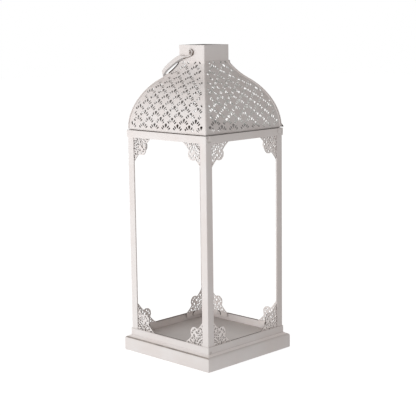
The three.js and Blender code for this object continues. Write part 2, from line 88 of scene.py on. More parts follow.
class LanternSizes(bpy.types.PropertyGroup):
    """Sizes of the fine shapes that the frame's solids leave out"""

    sheet: bpy.props.FloatProperty(
        name="Sheet", description="Thickness of the roof sheets", default=0.0004, unit="LENGTH"
    )
    fan_width: bpy.props.FloatVectorProperty(
        name="Petal width", description="Petals' width against the usual one, front to left panel",
        size=4, default=(1.0, 1.15, 1.4, 0.75),
    )
    lace_sheet: bpy.props.FloatProperty(
        name="Bracket sheet", description="Thickness of the brackets", default=0.0008,
        unit="LENGTH",
    )
    fan_pitch: bpy.props.FloatProperty(
        name="Fan pitch", description="From fan to fan across a row", default=0.02048,
        unit="LENGTH",
    )
    fan_row: bpy.props.FloatProperty(
        name="Row pitch", description="From row to row up the roof", default=0.00764,
        unit="LENGTH",
    )
    fan_foot: bpy.props.FloatProperty(
        name="First centre", description="Centre of the lowest row of fans above the edge",
        default=-0.0003, unit="LENGTH",
    )
    fan_aside: bpy.props.FloatVectorProperty(
        name="Fans aside", description="How far the fans stand aside, front to left panel",
        size=4, default=(-0.0006, 0.0009, 0.0004, -0.0003), unit="LENGTH",
    )
    fan_uneven: bpy.props.FloatVectorProperty(
        name="Uneven", description="How far the petals stray, front to left panel",
        size=4, default=(0.00005, 0.00005, 0.0006, 0.0002), unit="LENGTH",
    )
    fan_lean: bpy.props.FloatProperty(
        name="Fan lean", description="How much further aside the upper rows stand",
        default=0.001, unit="LENGTH",
    )
    fan_rise: bpy.props.FloatProperty(
        name="Fan rise", description="How much higher the top row stands", default=0.0022,
        unit="LENGTH",
    )
    fan_reach: bpy.props.FloatProperty(
        name="Fan reach", description="From a fan's centre to the end of its middle petal",
        default=0.0101, unit="LENGTH",
    )
    plain_hip: bpy.props.FloatProperty(
        name="Plain hip", description="Unpierced strip along each hip", default=0.0029,
        unit="LENGTH",
    )
    plain_neck: bpy.props.FloatProperty(
        name="Plain top", description="Unpierced strip along the neck", default=0.0006,
        unit="LENGTH",
    )
    lace_bar: bpy.props.FloatProperty(
        name="Lace bar", description="Least width of metal along a bracket's edge",
        default=0.0005, unit="LENGTH",
    )
    strap_width: bpy.props.FloatProperty(
        name="Strap width", description="Width of the bail's strap", default=0.0074,
        unit="LENGTH",
    )
    strap_thickness: bpy.props.FloatProperty(
        name="Strap thickness", description="Thickness of the bail's strap", default=0.0014,
        unit="LENGTH",
    )


class LanternPaint(bpy.types.PropertyGroup):
    """Colours of the paint, its shading and the bare metal"""

    paint: bpy.props.FloatVectorProperty(
        name="Paint", description="Main colour of the paint", subtype="COLOR", size=3, min=0,
        max=1, default=(0.80, 0.745, 0.725),
    )
    chalk: bpy.props.FloatVectorProperty(
        name="Chalky paint", description="Paler clouds in the paint", subtype="COLOR", size=3,
        min=0, max=1, default=(0.83, 0.795, 0.785),
    )
    dust: bpy.props.FloatVectorProperty(
        name="Dust", description="Dust and soil on level faces", subtype="COLOR", size=3, min=0,
        max=1, default=(0.50, 0.455, 0.425),
    )
    bare: bpy.props.FloatVectorProperty(
        name="Cut edge", description="Thinly painted edge of a pierced hole", subtype="COLOR",
        size=3, min=0, max=1, default=(0.66, 0.615, 0.595),
    )
    # This dark colour is unpainted iron in shade at the seam's leaf, and painted shade in the slots,
    # the hem, the neck's holes, along the bottom band and on the hips
    dark: bpy.props.FloatVectorProperty(
        name="Dark iron", description="Unpainted iron in slots and at seam ends",
        subtype="COLOR", size=3, min=0, max=1, default=(0.085, 0.066, 0.056),
    )


class LanternStage(bpy.types.PropertyGroup):
    """Lamp, backdrop, table and camera"""

    key: bpy.props.FloatProperty(
        name="Key lamp", description="Power of the lamp at the front left", default=13.4,
        unit="POWER",
    )
    key_azimuth: bpy.props.FloatProperty(
        name="Lamp azimuth", description="The lamp's turn round the lantern",
        default=math.radians(-12), subtype="ANGLE",
    )
    key_elevation: bpy.props.FloatProperty(
        name="Lamp elevation", description="The lamp's height above the horizon",
        default=math.radians(6), subtype="ANGLE",
    )
    sky: bpy.props.FloatProperty(
        name="Soft light", description="Strength of the even light from all round",
        default=0.44, min=0,
    )
    backdrop: bpy.props.FloatProperty(
        name="Backdrop light", description="Strength of the light from the backdrop",
        default=0.6, min=0,
    )
    table: bpy.props.FloatProperty(
        name="Table light", description="Light that the table throws back on its far side",
        default=0.27, min=0,
    )
    pool: bpy.props.FloatProperty(
        name="Pool light", description="Light that the table throws back under the lamp",
        default=0.85, min=0,
    )
    azimuth: bpy.props.FloatProperty(
        name="Azimuth", description="Camera's turn round the lantern",
        default=math.radians(44.36), subtype="ANGLE",
    )
    elevation: bpy.props.FloatProperty(
        name="Elevation", description="Camera's height above the horizon",
        default=math.radians(9.48), subtype="ANGLE",
    )
    roll: bpy.props.FloatProperty(
        name="Roll", description="Camera's turn about its own axis",
        default=math.radians(0.72), subtype="ANGLE",
    )
    distance: bpy.props.FloatProperty(
        name="Distance", description="From the camera to the point that it looks at",
        default=1.46193, unit="LENGTH",
    )
    lens: bpy.props.FloatProperty(
        name="Lens", description="Focal length in millimetres", default=97.95
    )
    aim_height: bpy.props.FloatProperty(
        name="Aim height", description="Height of the point that the camera looks at",
        default=0.18711, unit="LENGTH",
    )
    aim_aside: bpy.props.FloatProperty(
        name="Aim aside", description="How far that point lies to the camera's right",
        default=0.0027, unit="LENGTH",
    )


# Flat shapes

# Parts of a ring's rounded corner and of its straight side, and the largest share of a side that
# the rounding of a profile's corner takes
CORNER_STEPS, SIDE_STEPS, LARGEST_CUT = 6, 8, 0.45


def arc(centre, radius, start, end, steps):
    """Points on a circle about centre, from angle start to angle end in degrees."""
    angle = np.radians(np.linspace(start, end, steps + 1))
    return np.array(centre) + radius * np.stack([np.cos(angle), np.sin(angle)], -1)


def bezier(p0, p1, p2, p3, steps):
    """Points of a cubic Bezier curve: the four control points weighted by the Bernstein terms."""
    t = np.linspace(0, 1, steps + 1)[:, None]
    p0, p1, p2, p3 = (np.array(p, float) for p in (p0, p1, p2, p3))
    return (1 - t) ** 3 * p0 + 3 * (1 - t) ** 2 * t * p1 + 3 * (1 - t) * t**2 * p2 + t**3 * p3


def laid(x, y, angle, along, across):
    """Points given along and across an axis that starts at (x, y), as an array [shape, point, 2].

    The axis is turned by the angle from the first one: each point is rotated by cos and sin.
    """
    c, s = np.cos(angle)[:, None], np.sin(angle)[:, None]
    return np.stack([x[:, None] + along * c - across * s, y[:, None] + along * s + across * c], -1)


def teardrops(x, y, angle, inner, outer, width, taper, steps=12):
    """Outlines of teardrops that point away from (x, y), at an angle from straight up.

    Along its axis a drop runs from inner to outer with the cosine of t. Across it, the half width
    is sin t times sin t/2 raised to the taper, so the inner end is pointed and the outer end round.
    """
    t = np.linspace(0, 2 * np.pi, steps, endpoint=False)
    shape = np.sin(t) * np.abs(np.sin(t / 2)) ** taper[:, None]
    across = shape / np.abs(shape).max(1, keepdims=True) * (width[:, None] / 2)
    along = (inner + outer)[:, None] / 2 - (outer - inner)[:, None] / 2 * np.cos(t)
    return laid(x, y, math.pi / 2 - angle, along, -across)


def ovals(x, y, angle, length, width, steps=12):
    """Outlines of oval holes: ellipses whose long axis is turned by the angle."""
    x, y, angle, length, width = np.broadcast_arrays(x, y, angle, length, width)
    t = np.linspace(0, 2 * np.pi, steps, endpoint=False)
    return laid(x, y, angle, length[:, None] / 2 * np.cos(t), width[:, None] / 2 * np.sin(t))


def inside_by(outline, points):
    """How far each point lies inside a closed outline, negative outside.

    The distance is the least one to any side. The sign counts the sides that a ray to the right
    crosses: an odd number is inside.
    """
    a, b = outline, np.roll(outline, -1, 0)
    d = b - a
    p = points[:, None, :]
    t = np.clip(((p - a) * d).sum(-1) / np.maximum((d * d).sum(-1), 1e-18), 0, 1)
    distance = np.linalg.norm(p - (a + t[..., None] * d), axis=-1).min(1)
    rise = np.where(np.abs(d[:, 1]) < 1e-15, 1e-15, d[:, 1])
    crosses = ((a[:, 1] > p[..., 1]) != (b[:, 1] > p[..., 1])) & (
        p[..., 0] < a[:, 0] + (p[..., 1] - a[:, 1]) / rise * d[:, 0]
    )
    return np.where(crosses.sum(1) % 2 == 1, distance, -distance)


def folds_across(outline):
    """Pairs of an outline's points that face each other, where it runs up one side and down another."""
    last = len(outline) - 1
    return [(i, last - i) for i in range(1, len(outline) // 2 - 1)]


def pierced(outline, holes, folds=()):
    """Triangles of a flat plate inside an outline and outside every hole, cut along fold lines.

    folds are pairs of point numbers in the outline. Returns the points and the triangles.
    """
    loops = [np.asarray(outline, float), *(np.asarray(hole, float) for hole in holes)]
    points = np.concatenate(loops)
    rings = np.split(np.arange(len(points)), np.cumsum([len(loop) for loop in loops])[:-1])
    edges = [pair for ring in rings for pair in zip(ring.tolist(), np.roll(ring, -1).tolist())]
    made = delaunay_2d_cdt(
        points.tolist(), [*edges, *folds], [ring.tolist() for ring in rings], 1, 1e-9, True
    )
    metal = [owners == [0] for owners in made[5]]
    return np.array([tuple(p) for p in made[0]]), np.array(made[2])[metal]


def rounded_profile(corners, radius, steps=3):
    """A closed polygon with corners rounded off by quadratic curves that start a radius away."""
    corners, radius = np.asarray(corners, float), np.reshape(radius, (-1, 1))

    def towards(other):
        gap = other - corners
        length = np.linalg.norm(gap, axis=1, keepdims=True)
        return corners + gap / length * np.minimum(radius, LARGEST_CUT * length)

    start, end = (towards(np.roll(corners, way, 0))[:, None] for way in (1, -1))
    t = np.linspace(0, 1, steps + 1)[None, :, None]
    curve = (1 - t) ** 2 * start + 2 * (1 - t) * t * corners[:, None] + t**2 * end
    return curve.reshape(-1, 2)


# Bodies


def thick(front, back, triangles):
    """A closed body between two copies of a plate, with a wall on each of its open edges.

    Returns points, faces and the finish number of each face: 0 in front, 1 on the walls, 2 behind.
    """
    count = len(front)
    edges = np.concatenate([triangles[:, [0, 1]], triangles[:, [1, 2]], triangles[:, [2, 0]]])
    key = edges[:, 0] * count + edges[:, 1]
    twin = edges[:, 1] * count + edges[:, 0]
    a, b = edges[~np.isin(key, twin)].T
    walls = np.stack([b, a, a + count, b + count], -1)
    faces = [*triangles.tolist(), *(triangles[:, ::-1] + count).tolist(), *walls.tolist()]
    numbers = np.repeat([0, 2, 1], [len(triangles), len(triangles), len(walls)])
    return np.concatenate([front, back]), faces, numbers


def grid_faces(rows, columns, wrap_rows=False, wrap_columns=False):
    """Quads of a grid of points numbered row by row, with either way wrapped round if wished."""
    i = np.arange(rows if wrap_rows else rows - 1)[:, None]
    j = np.arange(columns if wrap_columns else columns - 1)[None, :]
    i2, j2 = (i + 1) % rows, (j + 1) % columns
    return np.stack(
        [i * columns + j, i * columns + j2, i2 * columns + j2, i2 * columns + j], -1
    ).reshape(-1, 4)


def capped(grid):
    """Points and faces of closed sections joined one to the next, with a cap at either end."""
    rows, columns = grid.shape[:2]
    last = (rows - 1) * columns
    caps = [list(range(columns)), list(range(last, last + columns))]
    return grid.reshape(-1, 3), grid_faces(rows, columns, wrap_columns=True).tolist() + caps


def square_ring(profile, corner):
    """A closed profile of (half side, height) carried round a square with rounded corners.

    The square has a half side of 1. Its corners are quarter circles, and its sides are shared into
    equal parts. A point of the ring is the square's point times the half side, at the profile's
    height.
    """
    profile = np.asarray(profile, float)
    bend = arc([1 - corner, 1 - corner], corner, 0, 90, CORNER_STEPS)
    side = np.linspace(bend[-1], bend[-1] * [-1, 1], SIDE_STEPS + 1)[1:-1]
    part = np.concatenate([bend, side])
    swapped = part[:, ::-1]
    path = np.concatenate([part, swapped * [-1, 1], -part, swapped * [1, -1]])
    grid = np.empty((len(path), len(profile), 3))
    grid[..., :2] = path[:, None] * profile[None, :, :1]
    grid[..., 2] = profile[:, 1]
    faces = grid_faces(*grid.shape[:2], wrap_rows=True, wrap_columns=True)
    return grid.reshape(-1, 3), faces.tolist()


def tube(centres, width_axis, side_axis, half_width, half_thickness, power, around=20):
    """A section carried along a line of centres, as a grid [section, point, 3].

    The section is a superellipse: the width goes with cos and the thickness with sin, each raised
    to a power, from 1 for a round wire down to a flat strap.
    """
    t = np.linspace(0, 2 * np.pi, around, endpoint=False) + np.pi / around
    c, s = np.cos(t), np.sin(t)
    w = np.sign(c) * np.abs(c) ** power[:, None] * half_width[:, None]
    h = np.sign(s) * np.abs(s) ** power[:, None] * half_thickness[:, None]
    return centres[:, None] + w[..., None] * width_axis[:, None] + h[..., None] * side_axis[:, None]


def slab(outline, thickness, bevel=0.15 * MM, steps=2):
    """A plate with rounded edges from a flat outline: (across, along, depth from 0 to thickness).

    Towards either face the outline draws in along its own normals by a quarter circle's sine.
    """
    after = np.roll(outline, -1, 0)
    tangent = after - np.roll(outline, 1, 0)
    tangent /= np.linalg.norm(tangent, axis=1, keepdims=True)
    area = (outline[:, 0] * after[:, 1] - outline[:, 1] * after[:, 0]).sum()
    inward = np.stack([-tangent[:, 1], tangent[:, 0]], -1) * np.sign(area)
    turn = np.radians(np.linspace(0, 90, steps + 1))
    by_sine, by_cosine = bevel * (1 - np.sin(turn)), bevel * (1 - np.cos(turn))
    grid = np.empty((2 * len(turn), len(outline), 3))
    grid[..., :2] = outline + np.r_[by_sine, by_cosine][:, None, None] * inward
    grid[..., 2] = np.r_[by_cosine, thickness - by_sine][:, None]
    return capped(grid)


def turned(points, quarters):
    """Points turned about the lantern's axis by quarter turns, from the front face to the others."""
    c, s = [(1, 0), (0, 1), (-1, 0), (0, -1)][quarters % 4]
    x, y = points[..., 0], points[..., 1]
    return np.stack([c * x - s * y, s * x + c * y, points[..., 2]], -1)


def on_face(points, out, quarters):
    """Places (across, up, depth) points on a face of the lantern: depth 0 at a distance out."""
    return turned(np.stack([points[:, 0], points[:, 2] - out, points[:, 1]], -1), quarters)


def add_piece(
    name, points, faces, finishes, rides="lantern_body", stands_for=(), numbers=None, sharp=35.0
):
    """Makes a closed piece: merges its doubles, turns its faces outwards and rides it on a body.

    finishes holds names, and numbers says for each face which of them it has.
    """
    mesh = bpy.data.meshes.new(name)
    mesh.from_pydata(np.asarray(points, float).tolist(), [], faces)
    for each in finishes:
        mesh.materials.append(finish(each))
    if numbers is not None:
        mesh.polygons.foreach_set("material_index", np.asarray(numbers, np.int32))
    shaped = bmesh.new()
    shaped.from_mesh(mesh)
    bmesh.ops.remove_doubles(shaped, verts=shaped.verts, dist=2e-6)
    bmesh.ops.dissolve_degenerate(shaped, edges=shaped.edges, dist=1e-7)
    bmesh.ops.recalc_face_normals(shaped, faces=shaped.faces)
    shaped.to_mesh(mesh)
    shaped.free()
    mesh.shade_smooth()
    mesh.set_sharp_from_angle(angle=math.radians(sharp))
    piece = bpy.data.objects.new(name, mesh)
    bpy.context.scene.collection.objects.link(piece)
    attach(piece, rides)
    if stands_for:
        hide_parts(*stands_for)
    return piece


# Paint

# Paints: scale of the clouds, dust on level faces, brightness, gloss and bumps. A brightness other than
# one paints light or shade into a paint.
PAINTS = {
    "Frame paint": (22.0, 0.28, 1.0, 0.0, 0.08),
    # The floor is dimmed as painted shade under the roof; its dust is the floor's own
    "Floor paint": (18.0, 0.6, 0.86, 0.14, 0.08),
    # Lightened and glossier as a painted highlight: on the ledge, the ridge by the back right seam and
    # the top edge of the bottom band
    "Ledge paint": (26.0, 0.0, 1.19, 0.1, 0.04),
    # Dimmed as painted shade: the insides of the side roof panels and of the neck, and the right and
    # back of the hem
    "Thin paint": (30.0, 0.3, 0.36, 0.0, 0.08),
    "Roof paint": (35.0, 0.16, 1.0, 0.0, 0.08),
    # The right and left roof panels are dimmed as painted shade
    "Side paint": (35.0, 0.16, 0.9, 0.0, 0.08),
    "Lace paint": (60.0, 0.25, 1.0, 0.0, 0.08),
    # The back and right brackets are lightened as painted light
    "Pale lace": (60.0, 0.1, 1.19, 0.0, 0.08),
    "Bail paint": (48.0, 0.22, 0.9, 0.0, 0.08),
    "Bail shade": (60.0, 0.0, 0.42, 0.0, 0.08),
}
# Metals and painted light and shade: colour, or which of the paint's colours it is, roughness and scale
# of the mottling
METALS = {
    # Painted light on the inside of the front and back roof panels
    "Pale lining": ((0.76, 0.78, 0.755), 0.5, 60.0),
    # Dark brown painted shadow: on the hook wire's lower right side and in the rings round the neck's
    # holes
    "Worn wire": ((0.17, 0.125, 0.10), 0.6, 700.0),
    "Cut edge": ("bare", 0.6, 700.0),
    "Lace edge": ((0.19, 0.165, 0.15), 0.65, 700.0),
    # A line of painted shadow under the lip of the plinth's rolled edge
    "Grime": ((0.36, 0.315, 0.285), 0.6, 90.0),
    "Solder": ((0.66, 0.62, 0.60), 0.42, 900.0),
    # Dark iron, used mostly as painted shade
    "Dark iron": ("dark", 0.75, 700.0),
}
SPECK_SCALE, GRAIN_SCALE, BUMP_DEPTH = 330.0, 1500.0, 0.3 * MM


def feed(node, inputs):
    """Sets a node's inputs: an output of another node is linked, anything else is the value."""
    for key, value in inputs.items():
        if isinstance(value, bpy.types.NodeSocket):
            node.id_data.links.new(value, node.inputs[key])
        else:
            node.inputs[key].default_value = value


def add_node(tree, kind, inputs, **settings):
    """Adds a shader node with its settings and its inputs."""
    node = tree.nodes.new(f"ShaderNode{kind}")
    for key, value in settings.items():
        setattr(node, key, value)
    feed(node, inputs)
    return node


def maths(tree, kind, a, b):
    """One sum on two values."""
    return add_node(tree, "Math", {0: a, 1: b}, operation=kind).outputs["Value"]


def smooth_ramp(tree, value, low, high, start=0.0, end=1.0):
    """Goes smoothly from start to end while a value goes from low to high."""
    inputs = {"Value": value, "From Min": low, "From Max": high, "To Min": start, "To Max": end}
    return add_node(tree, "MapRange", inputs, interpolation_type="SMOOTHSTEP").outputs["Result"]


def paint_group():
    """Node group for aged paint on sheet metal: soft clouds, dust on level faces and a fine grain."""
    known = bpy.data.node_groups.get("Aged sheet paint")
    if known:
        return known
    tree = bpy.data.node_groups.new("Aged sheet paint", "ShaderNodeTree")
    for way, kind, names in (
        ("INPUT", "Color", ("Paint", "Chalk", "Dust")),
        ("INPUT", "Float", ("Cloud scale", "Dust amount", "Gloss")),
        ("OUTPUT", "Color", ("Color",)),
        ("OUTPUT", "Float", ("Roughness", "Height")),
    ):
        for name in names:
            tree.interface.new_socket(name=name, in_out=way, socket_type=f"NodeSocket{kind}")
    given, out = tree.nodes.new("NodeGroupInput").outputs, tree.nodes.new("NodeGroupOutput")
    where = add_node(tree, "TexCoord", {}).outputs["Object"]

    def noise(scale, detail):
        inputs = {"Vector": where, "Scale": scale, "Detail": detail, "Roughness": 0.55}
        return add_node(tree, "TexNoise", inputs).outputs["Fac"]

    def mix(factor, a, b):
        return add_node(tree, "Mix", {0: factor, 6: a, 7: b}, data_type="RGBA").outputs[2]

    clouds, specks = noise(given["Cloud scale"], 4.0), noise(SPECK_SCALE, 3.0)
    grain = noise(GRAIN_SCALE, 2.0)
    normal = add_node(tree, "NewGeometry", {}).outputs["Normal"]
    upwards = add_node(tree, "SeparateXYZ", {"Vector": normal}).outputs["Z"]
    level = smooth_ramp(tree, upwards, 0.35, 0.98)
    settled = maths(tree, "MULTIPLY", level, smooth_ramp(tree, clouds, 0.32, 0.68, 0.35, 1.0))
    dusty = maths(tree, "MULTIPLY", settled, given["Dust amount"])
    spotted = maths(tree, "MULTIPLY", smooth_ramp(tree, specks, 0.64, 0.78), 0.22)
    painted = mix(smooth_ramp(tree, clouds, 0.30, 0.72), given["Paint"], given["Chalk"])
    soiled = mix(maths(tree, "MAXIMUM", dusty, spotted), painted, given["Dust"])
    rough = smooth_ramp(tree, grain, 0.3, 0.7, 0.47, 0.57)
    rough = maths(tree, "ADD", rough, maths(tree, "MULTIPLY", dusty, 0.12))
    rough = maths(tree, "SUBTRACT", rough, given["Gloss"])
    height = maths(tree, "ADD", grain, maths(tree, "MULTIPLY", clouds, 0.6))
    feed(out, {"Color": soiled, "Roughness": rough, "Height": height})
    return tree


def new_material(name):
    """A material, its node tree and its surface shader."""
    material = bpy.data.materials.new(name)
    material.use_nodes = True
    return material, material.node_tree, material.node_tree.nodes["Principled BSDF"]


def paint_material(name, cloud_scale, dust_amount, dim, gloss, bump):
    """Satin paint over sheet metal. dim scales the paint's colours, gloss lowers its roughness."""
    paint = bpy.context.scene.lantern_paint
    material, tree, shader = new_material(name)
    inputs = {
        "Paint": (*(dim * c for c in paint.paint), 1),
        "Chalk": (*(dim * c for c in paint.chalk), 1),
        "Dust": (*paint.dust, 1),
        "Cloud scale": cloud_scale,
        "Dust amount": dust_amount,
        "Gloss": gloss,
    }
    aged = add_node(tree, "Group", inputs, node_tree=paint_group()).outputs
    inputs = {"Strength": bump, "Distance": BUMP_DEPTH, "Height": aged["Height"]}
    normal = add_node(tree, "Bump", inputs).outputs["Normal"]
    feed(shader, {"Base Color": aged["Color"], "Roughness": aged["Roughness"], "Normal": normal})
    feed(shader, {"Specular IOR Level": 0.4})
    return material


def metal_material(name, colour, roughness, scale):
    """A mottled colour for thinly painted or bare iron, and for painted light and shade."""
    material, tree, shader = new_material(name)
    where = add_node(tree, "TexCoord", {}).outputs["Object"]
    noise = add_node(tree, "TexNoise", {"Vector": where, "Scale": scale, "Detail": 3.0})
    ramp = add_node(tree, "ValToRGB", {"Fac": noise.outputs["Fac"]})
    for stop, position, shade in zip(ramp.color_ramp.elements, (0.3, 0.7), (0.72, 1.25)):
        stop.position = position
        stop.color = (*(min(1.0, shade * c) for c in colour), 1)
    feed(shader, {"Base Color": ramp.outputs["Color"], "Roughness": roughness})
    return material


def finish(name):
    """One of the lantern's finishes, made at its first use."""
    known = bpy.data.materials.get(name)
    if known:
        return known
    if name in PAINTS:
        return paint_material(name, *PAINTS[name])
    colour, roughness, scale = METALS[name]
    if isinstance(colour, str):
        colour = getattr(bpy.context.scene.lantern_paint, colour)
    return metal_material(name, colour, roughness, scale)


# Roof curve

# The waist: its half side as a share of the foot's, its height above the panel's lowest point, and
# its slope. The slope at the neck. The length of the handle at each end of the two curves.
WAIST_SHARE, WAIST_UP, WAIST_SLOPE, NECK_SLOPE = 0.585, 62.4 * MM, 0.77, 2.05
FOOT_HANDLE, BELOW_WAIST, ABOVE_WAIST, NECK_HANDLE = 28 * MM, 16 * MM, 7.5 * MM, 8 * MM
# Control points in millimetres of the tucked edge, from the foot, and of the flange, from the
# top, and the number of the edge's parts
TUCKED_EDGE = np.array([[-1.3, -1.15], [-0.9, -1.1], [-0.15, -0.7], [0, 0]])
FLANGE = np.array([[0, 0], [-0.18, 0.9], [-0.1, 2.0], [-0.1, 3.4]])
EDGE_STEPS = 12


def roof_curve():
    """Roof profile as (distance up the sheet, half side, height, outward normal).

    A tucked edge, then two cubic Bezier curves that meet with one slope at the waist, and a short
    flange up the neck, joined by length. The normal is the curve's own direction turned by a right
    angle.
    """
    start = np.array([-ROOF_LOW[1], ROOF_LOW[2] + 1.3 * MM])
    top = np.array([NECK_HIGH[0] + 0.3 * MM, ROOF_HIGH[2]])
    waist = np.array([WAIST_SHARE * start[0], ROOF_LOW[2] + WAIST_UP])
    fall, steep = (
        np.array([1, -slope]) / math.hypot(1, slope) for slope in (WAIST_SLOPE, NECK_SLOPE)
    )
    lower = bezier(start, start + [0, FOOT_HANDLE], waist + BELOW_WAIST * fall, waist, 300)
    upper = bezier(waist, waist - ABOVE_WAIST * fall, top + NECK_HANDLE * steep, top, 200)
    edge = bezier(*(start + TUCKED_EDGE * MM), EDGE_STEPS)
    flange = bezier(*(top + FLANGE * MM), 16)
    points = np.concatenate([edge[:-1], lower, upper[1:], flange[1:]])
    gaps = np.linalg.norm(np.diff(points, axis=0), axis=1)
    distance = np.r_[0, np.cumsum(gaps)]
    distance -= distance[EDGE_STEPS]
    slope = np.gradient(points, axis=0)
    slope /= np.linalg.norm(slope, axis=1, keepdims=True)
    return distance, points[:, 0], points[:, 1], np.stack([slope[:, 1], -slope[:, 0]], -1)


ROOF = roof_curve()


def roof_at(distance):
    """Half side, height and outward normal (half side, height) at a distance up the sheet."""
    levels, half, height, normal = ROOF
    half, height, out, up = (
        np.interp(distance, levels, values) for values in (half, height, *normal.T)
    )
    return half, height, np.stack([out, up], -1)


# Petals of a fan: start of its axis above the fan's centre, turn from straight up in degrees, inner
# and outer end and width, all as shares of the fan's reach, and its taper
FAN_PETALS = np.array([
    [0.0, 0, 0.46, 1.03, 0.42, 1.7],
    [0.208, 43, 0.31, 0.80, 0.20, 0.4],
    [-0.03, 53, 0.51, 0.965, 0.205, 0.4],
])
# Where the lean and the rise of the fans begin and end, and the plain strip at the roof's foot
LEAN_SPAN, RISE_SPAN, PLAIN_FOOT = (50 * MM, 70 * MM), (64 * MM, 92 * MM), 1.6 * MM
# Fans to either side of the middle one, seed of their straying, folds across a panel up to the
# neck, and how far a panel stays away from the hip
FANS_ASIDE, FAN_SEED, PANEL_FOLDS, HIP_GAP = 5, 11, 52, 0.2 * MM


def part_way(value, span):
    """How far a value has come along a span, from 0 to 1."""
    return np.clip((value - span[0]) / (span[1] - span[0]), 0, 1)


def fan_holes(sizes, quarter):
    """Teardrops of all fans of one panel, as (across, distance up the sheet) outlines.

    Rows of fans lie a row pitch apart, every other row moved aside by half a fan. A fan has a
    middle petal and two on each side. On the front and back the upper rows stand aside by the lean
    as well. Each petal strays from its place by a random amount.
    """
    petals = np.concatenate([FAN_PETALS, FAN_PETALS[1:] * [1, -1, 1, 1, 1, 1]])
    top = ROOF[0][-1]
    rows = np.arange(int(top / sizes.fan_row) + 1)
    columns = np.arange(-FANS_ASIDE, FANS_ASIDE + 1)
    grid = np.meshgrid(rows, columns, np.arange(len(petals)), indexing="ij")
    row, column, petal = (axis.ravel() for axis in grid)
    lift, turn, inner, outer, width, taper = petals[petal].T
    reach, uneven = sizes.fan_reach, sizes.fan_uneven[quarter]
    aside, up = np.random.default_rng(FAN_SEED + quarter).normal(0, uneven, (2, len(row)))
    lean = 0.0 if quarter % 2 else sizes.fan_lean
    x = (column + 0.5 * (row % 2)) * sizes.fan_pitch + sizes.fan_aside[quarter]
    x = x + lean * part_way(row * sizes.fan_row, LEAN_SPAN) + aside
    y = sizes.fan_foot + row * sizes.fan_row
    y = y + sizes.fan_rise * part_way(y, RISE_SPAN) + lift * reach + up
    width = width * sizes.fan_width[quarter]
    drops = teardrops(
        x, y, np.radians(turn), inner * reach, outer * reach, width * reach, taper
    )
    across, up = np.abs(drops[..., 0]), drops[..., 1]
    fits = (across <= roof_at(up)[0] - sizes.plain_hip) & (up >= PLAIN_FOOT)
    fits &= up <= top - sizes.plain_neck
    return drops[fits.all(1)]


class LANTERN_OT_roof(bpy.types.Operator):
    """Builds the four curved roof panels, pierced with rows of fans"""

    bl_idname = "lantern.roof"
    bl_label = "Roof panels"

    def execute(self, context):
        sizes = context.scene.lantern_sizes
        tucked, upwards = ROOF[0][:EDGE_STEPS:4], np.linspace(0, ROOF[0][-1], PANEL_FOLDS)
        levels = np.r_[tucked, upwards]
        half = roof_at(levels)[0] - HIP_GAP
        right, left = np.stack([half, levels], -1), np.stack([-half, levels], -1)
        outline = np.concatenate([right, left[::-1]])
        for quarter, face in enumerate(FACES):
            flat, triangles = pierced(outline, fan_holes(sizes, quarter), folds_across(outline))
            half, height, normal = roof_at(flat[:, 1])
            inner_half, inner_height = np.stack([half, height]) - sizes.sheet * normal.T
            front = np.stack([flat[:, 0], -half, height], -1)
            back = np.stack([flat[:, 0] * inner_half / half, -inner_half, inner_height], -1)
            points, faces, numbers = thick(front, back, triangles)
            # The right and left panels are dimmed outside and darkened inside as painted shade; the
            # front and back panels are lightened inside as painted light
            finishes = (
                ["Side paint", "Cut edge", "Thin paint"] if quarter % 2
                else ["Roof paint", "Cut edge", "Pale lining"]
            )
            piece = add_piece(
                f"roof_sheet_{face}", turned(points, quarter), faces, finishes,
                stands_for=[f"roof_panel_{face}"], numbers=numbers,
            )
        return {"FINISHED"}


# Sections in millimetres: the folded seam and the crease on a hip as (across, outwards), the groove
# and the ridge beside the back right seam as (from the hip, proud of the sheet), and the outline
# of the leaf at that seam's foot as (outwards, up)
SEAM = np.array([
    [-0.95, -0.25], [0.95, -0.25], [0.95, 0.8], [0.3, 1.05], [0.08, 0.55], [-0.1, 0.55],
    [-0.4, 1.1], [-0.95, 0.95],
])
CREASE = np.array([
    [-1.7, -0.7], [1.7, -0.7], [1.35, -0.28], [0.65, 0.2], [0.0, 0.38], [-0.65, 0.2], [-1.35, -0.28],
])
GROOVE = np.array([[0.75, -0.3], [0.75, 0.3], [1.5, 0.22], [1.5, -0.3]])
RIDGE = np.array([[1.5, -0.3], [1.5, 0.75], [2.9, 0.0], [2.9, -0.3]])
LEAF = np.array([[0.0, 9.0], [0.6, 6.0], [3.2, 2.2], [3.6, 1.2], [1.2, 1.0], [-0.4, 1.3]])
LEAF_SHEET = 0.9 * MM
# Levels of a strip along a hip, and from which one up the front left seam is painted dark as shade
HIP_LEVELS, SHADE_FROM = 60, 48


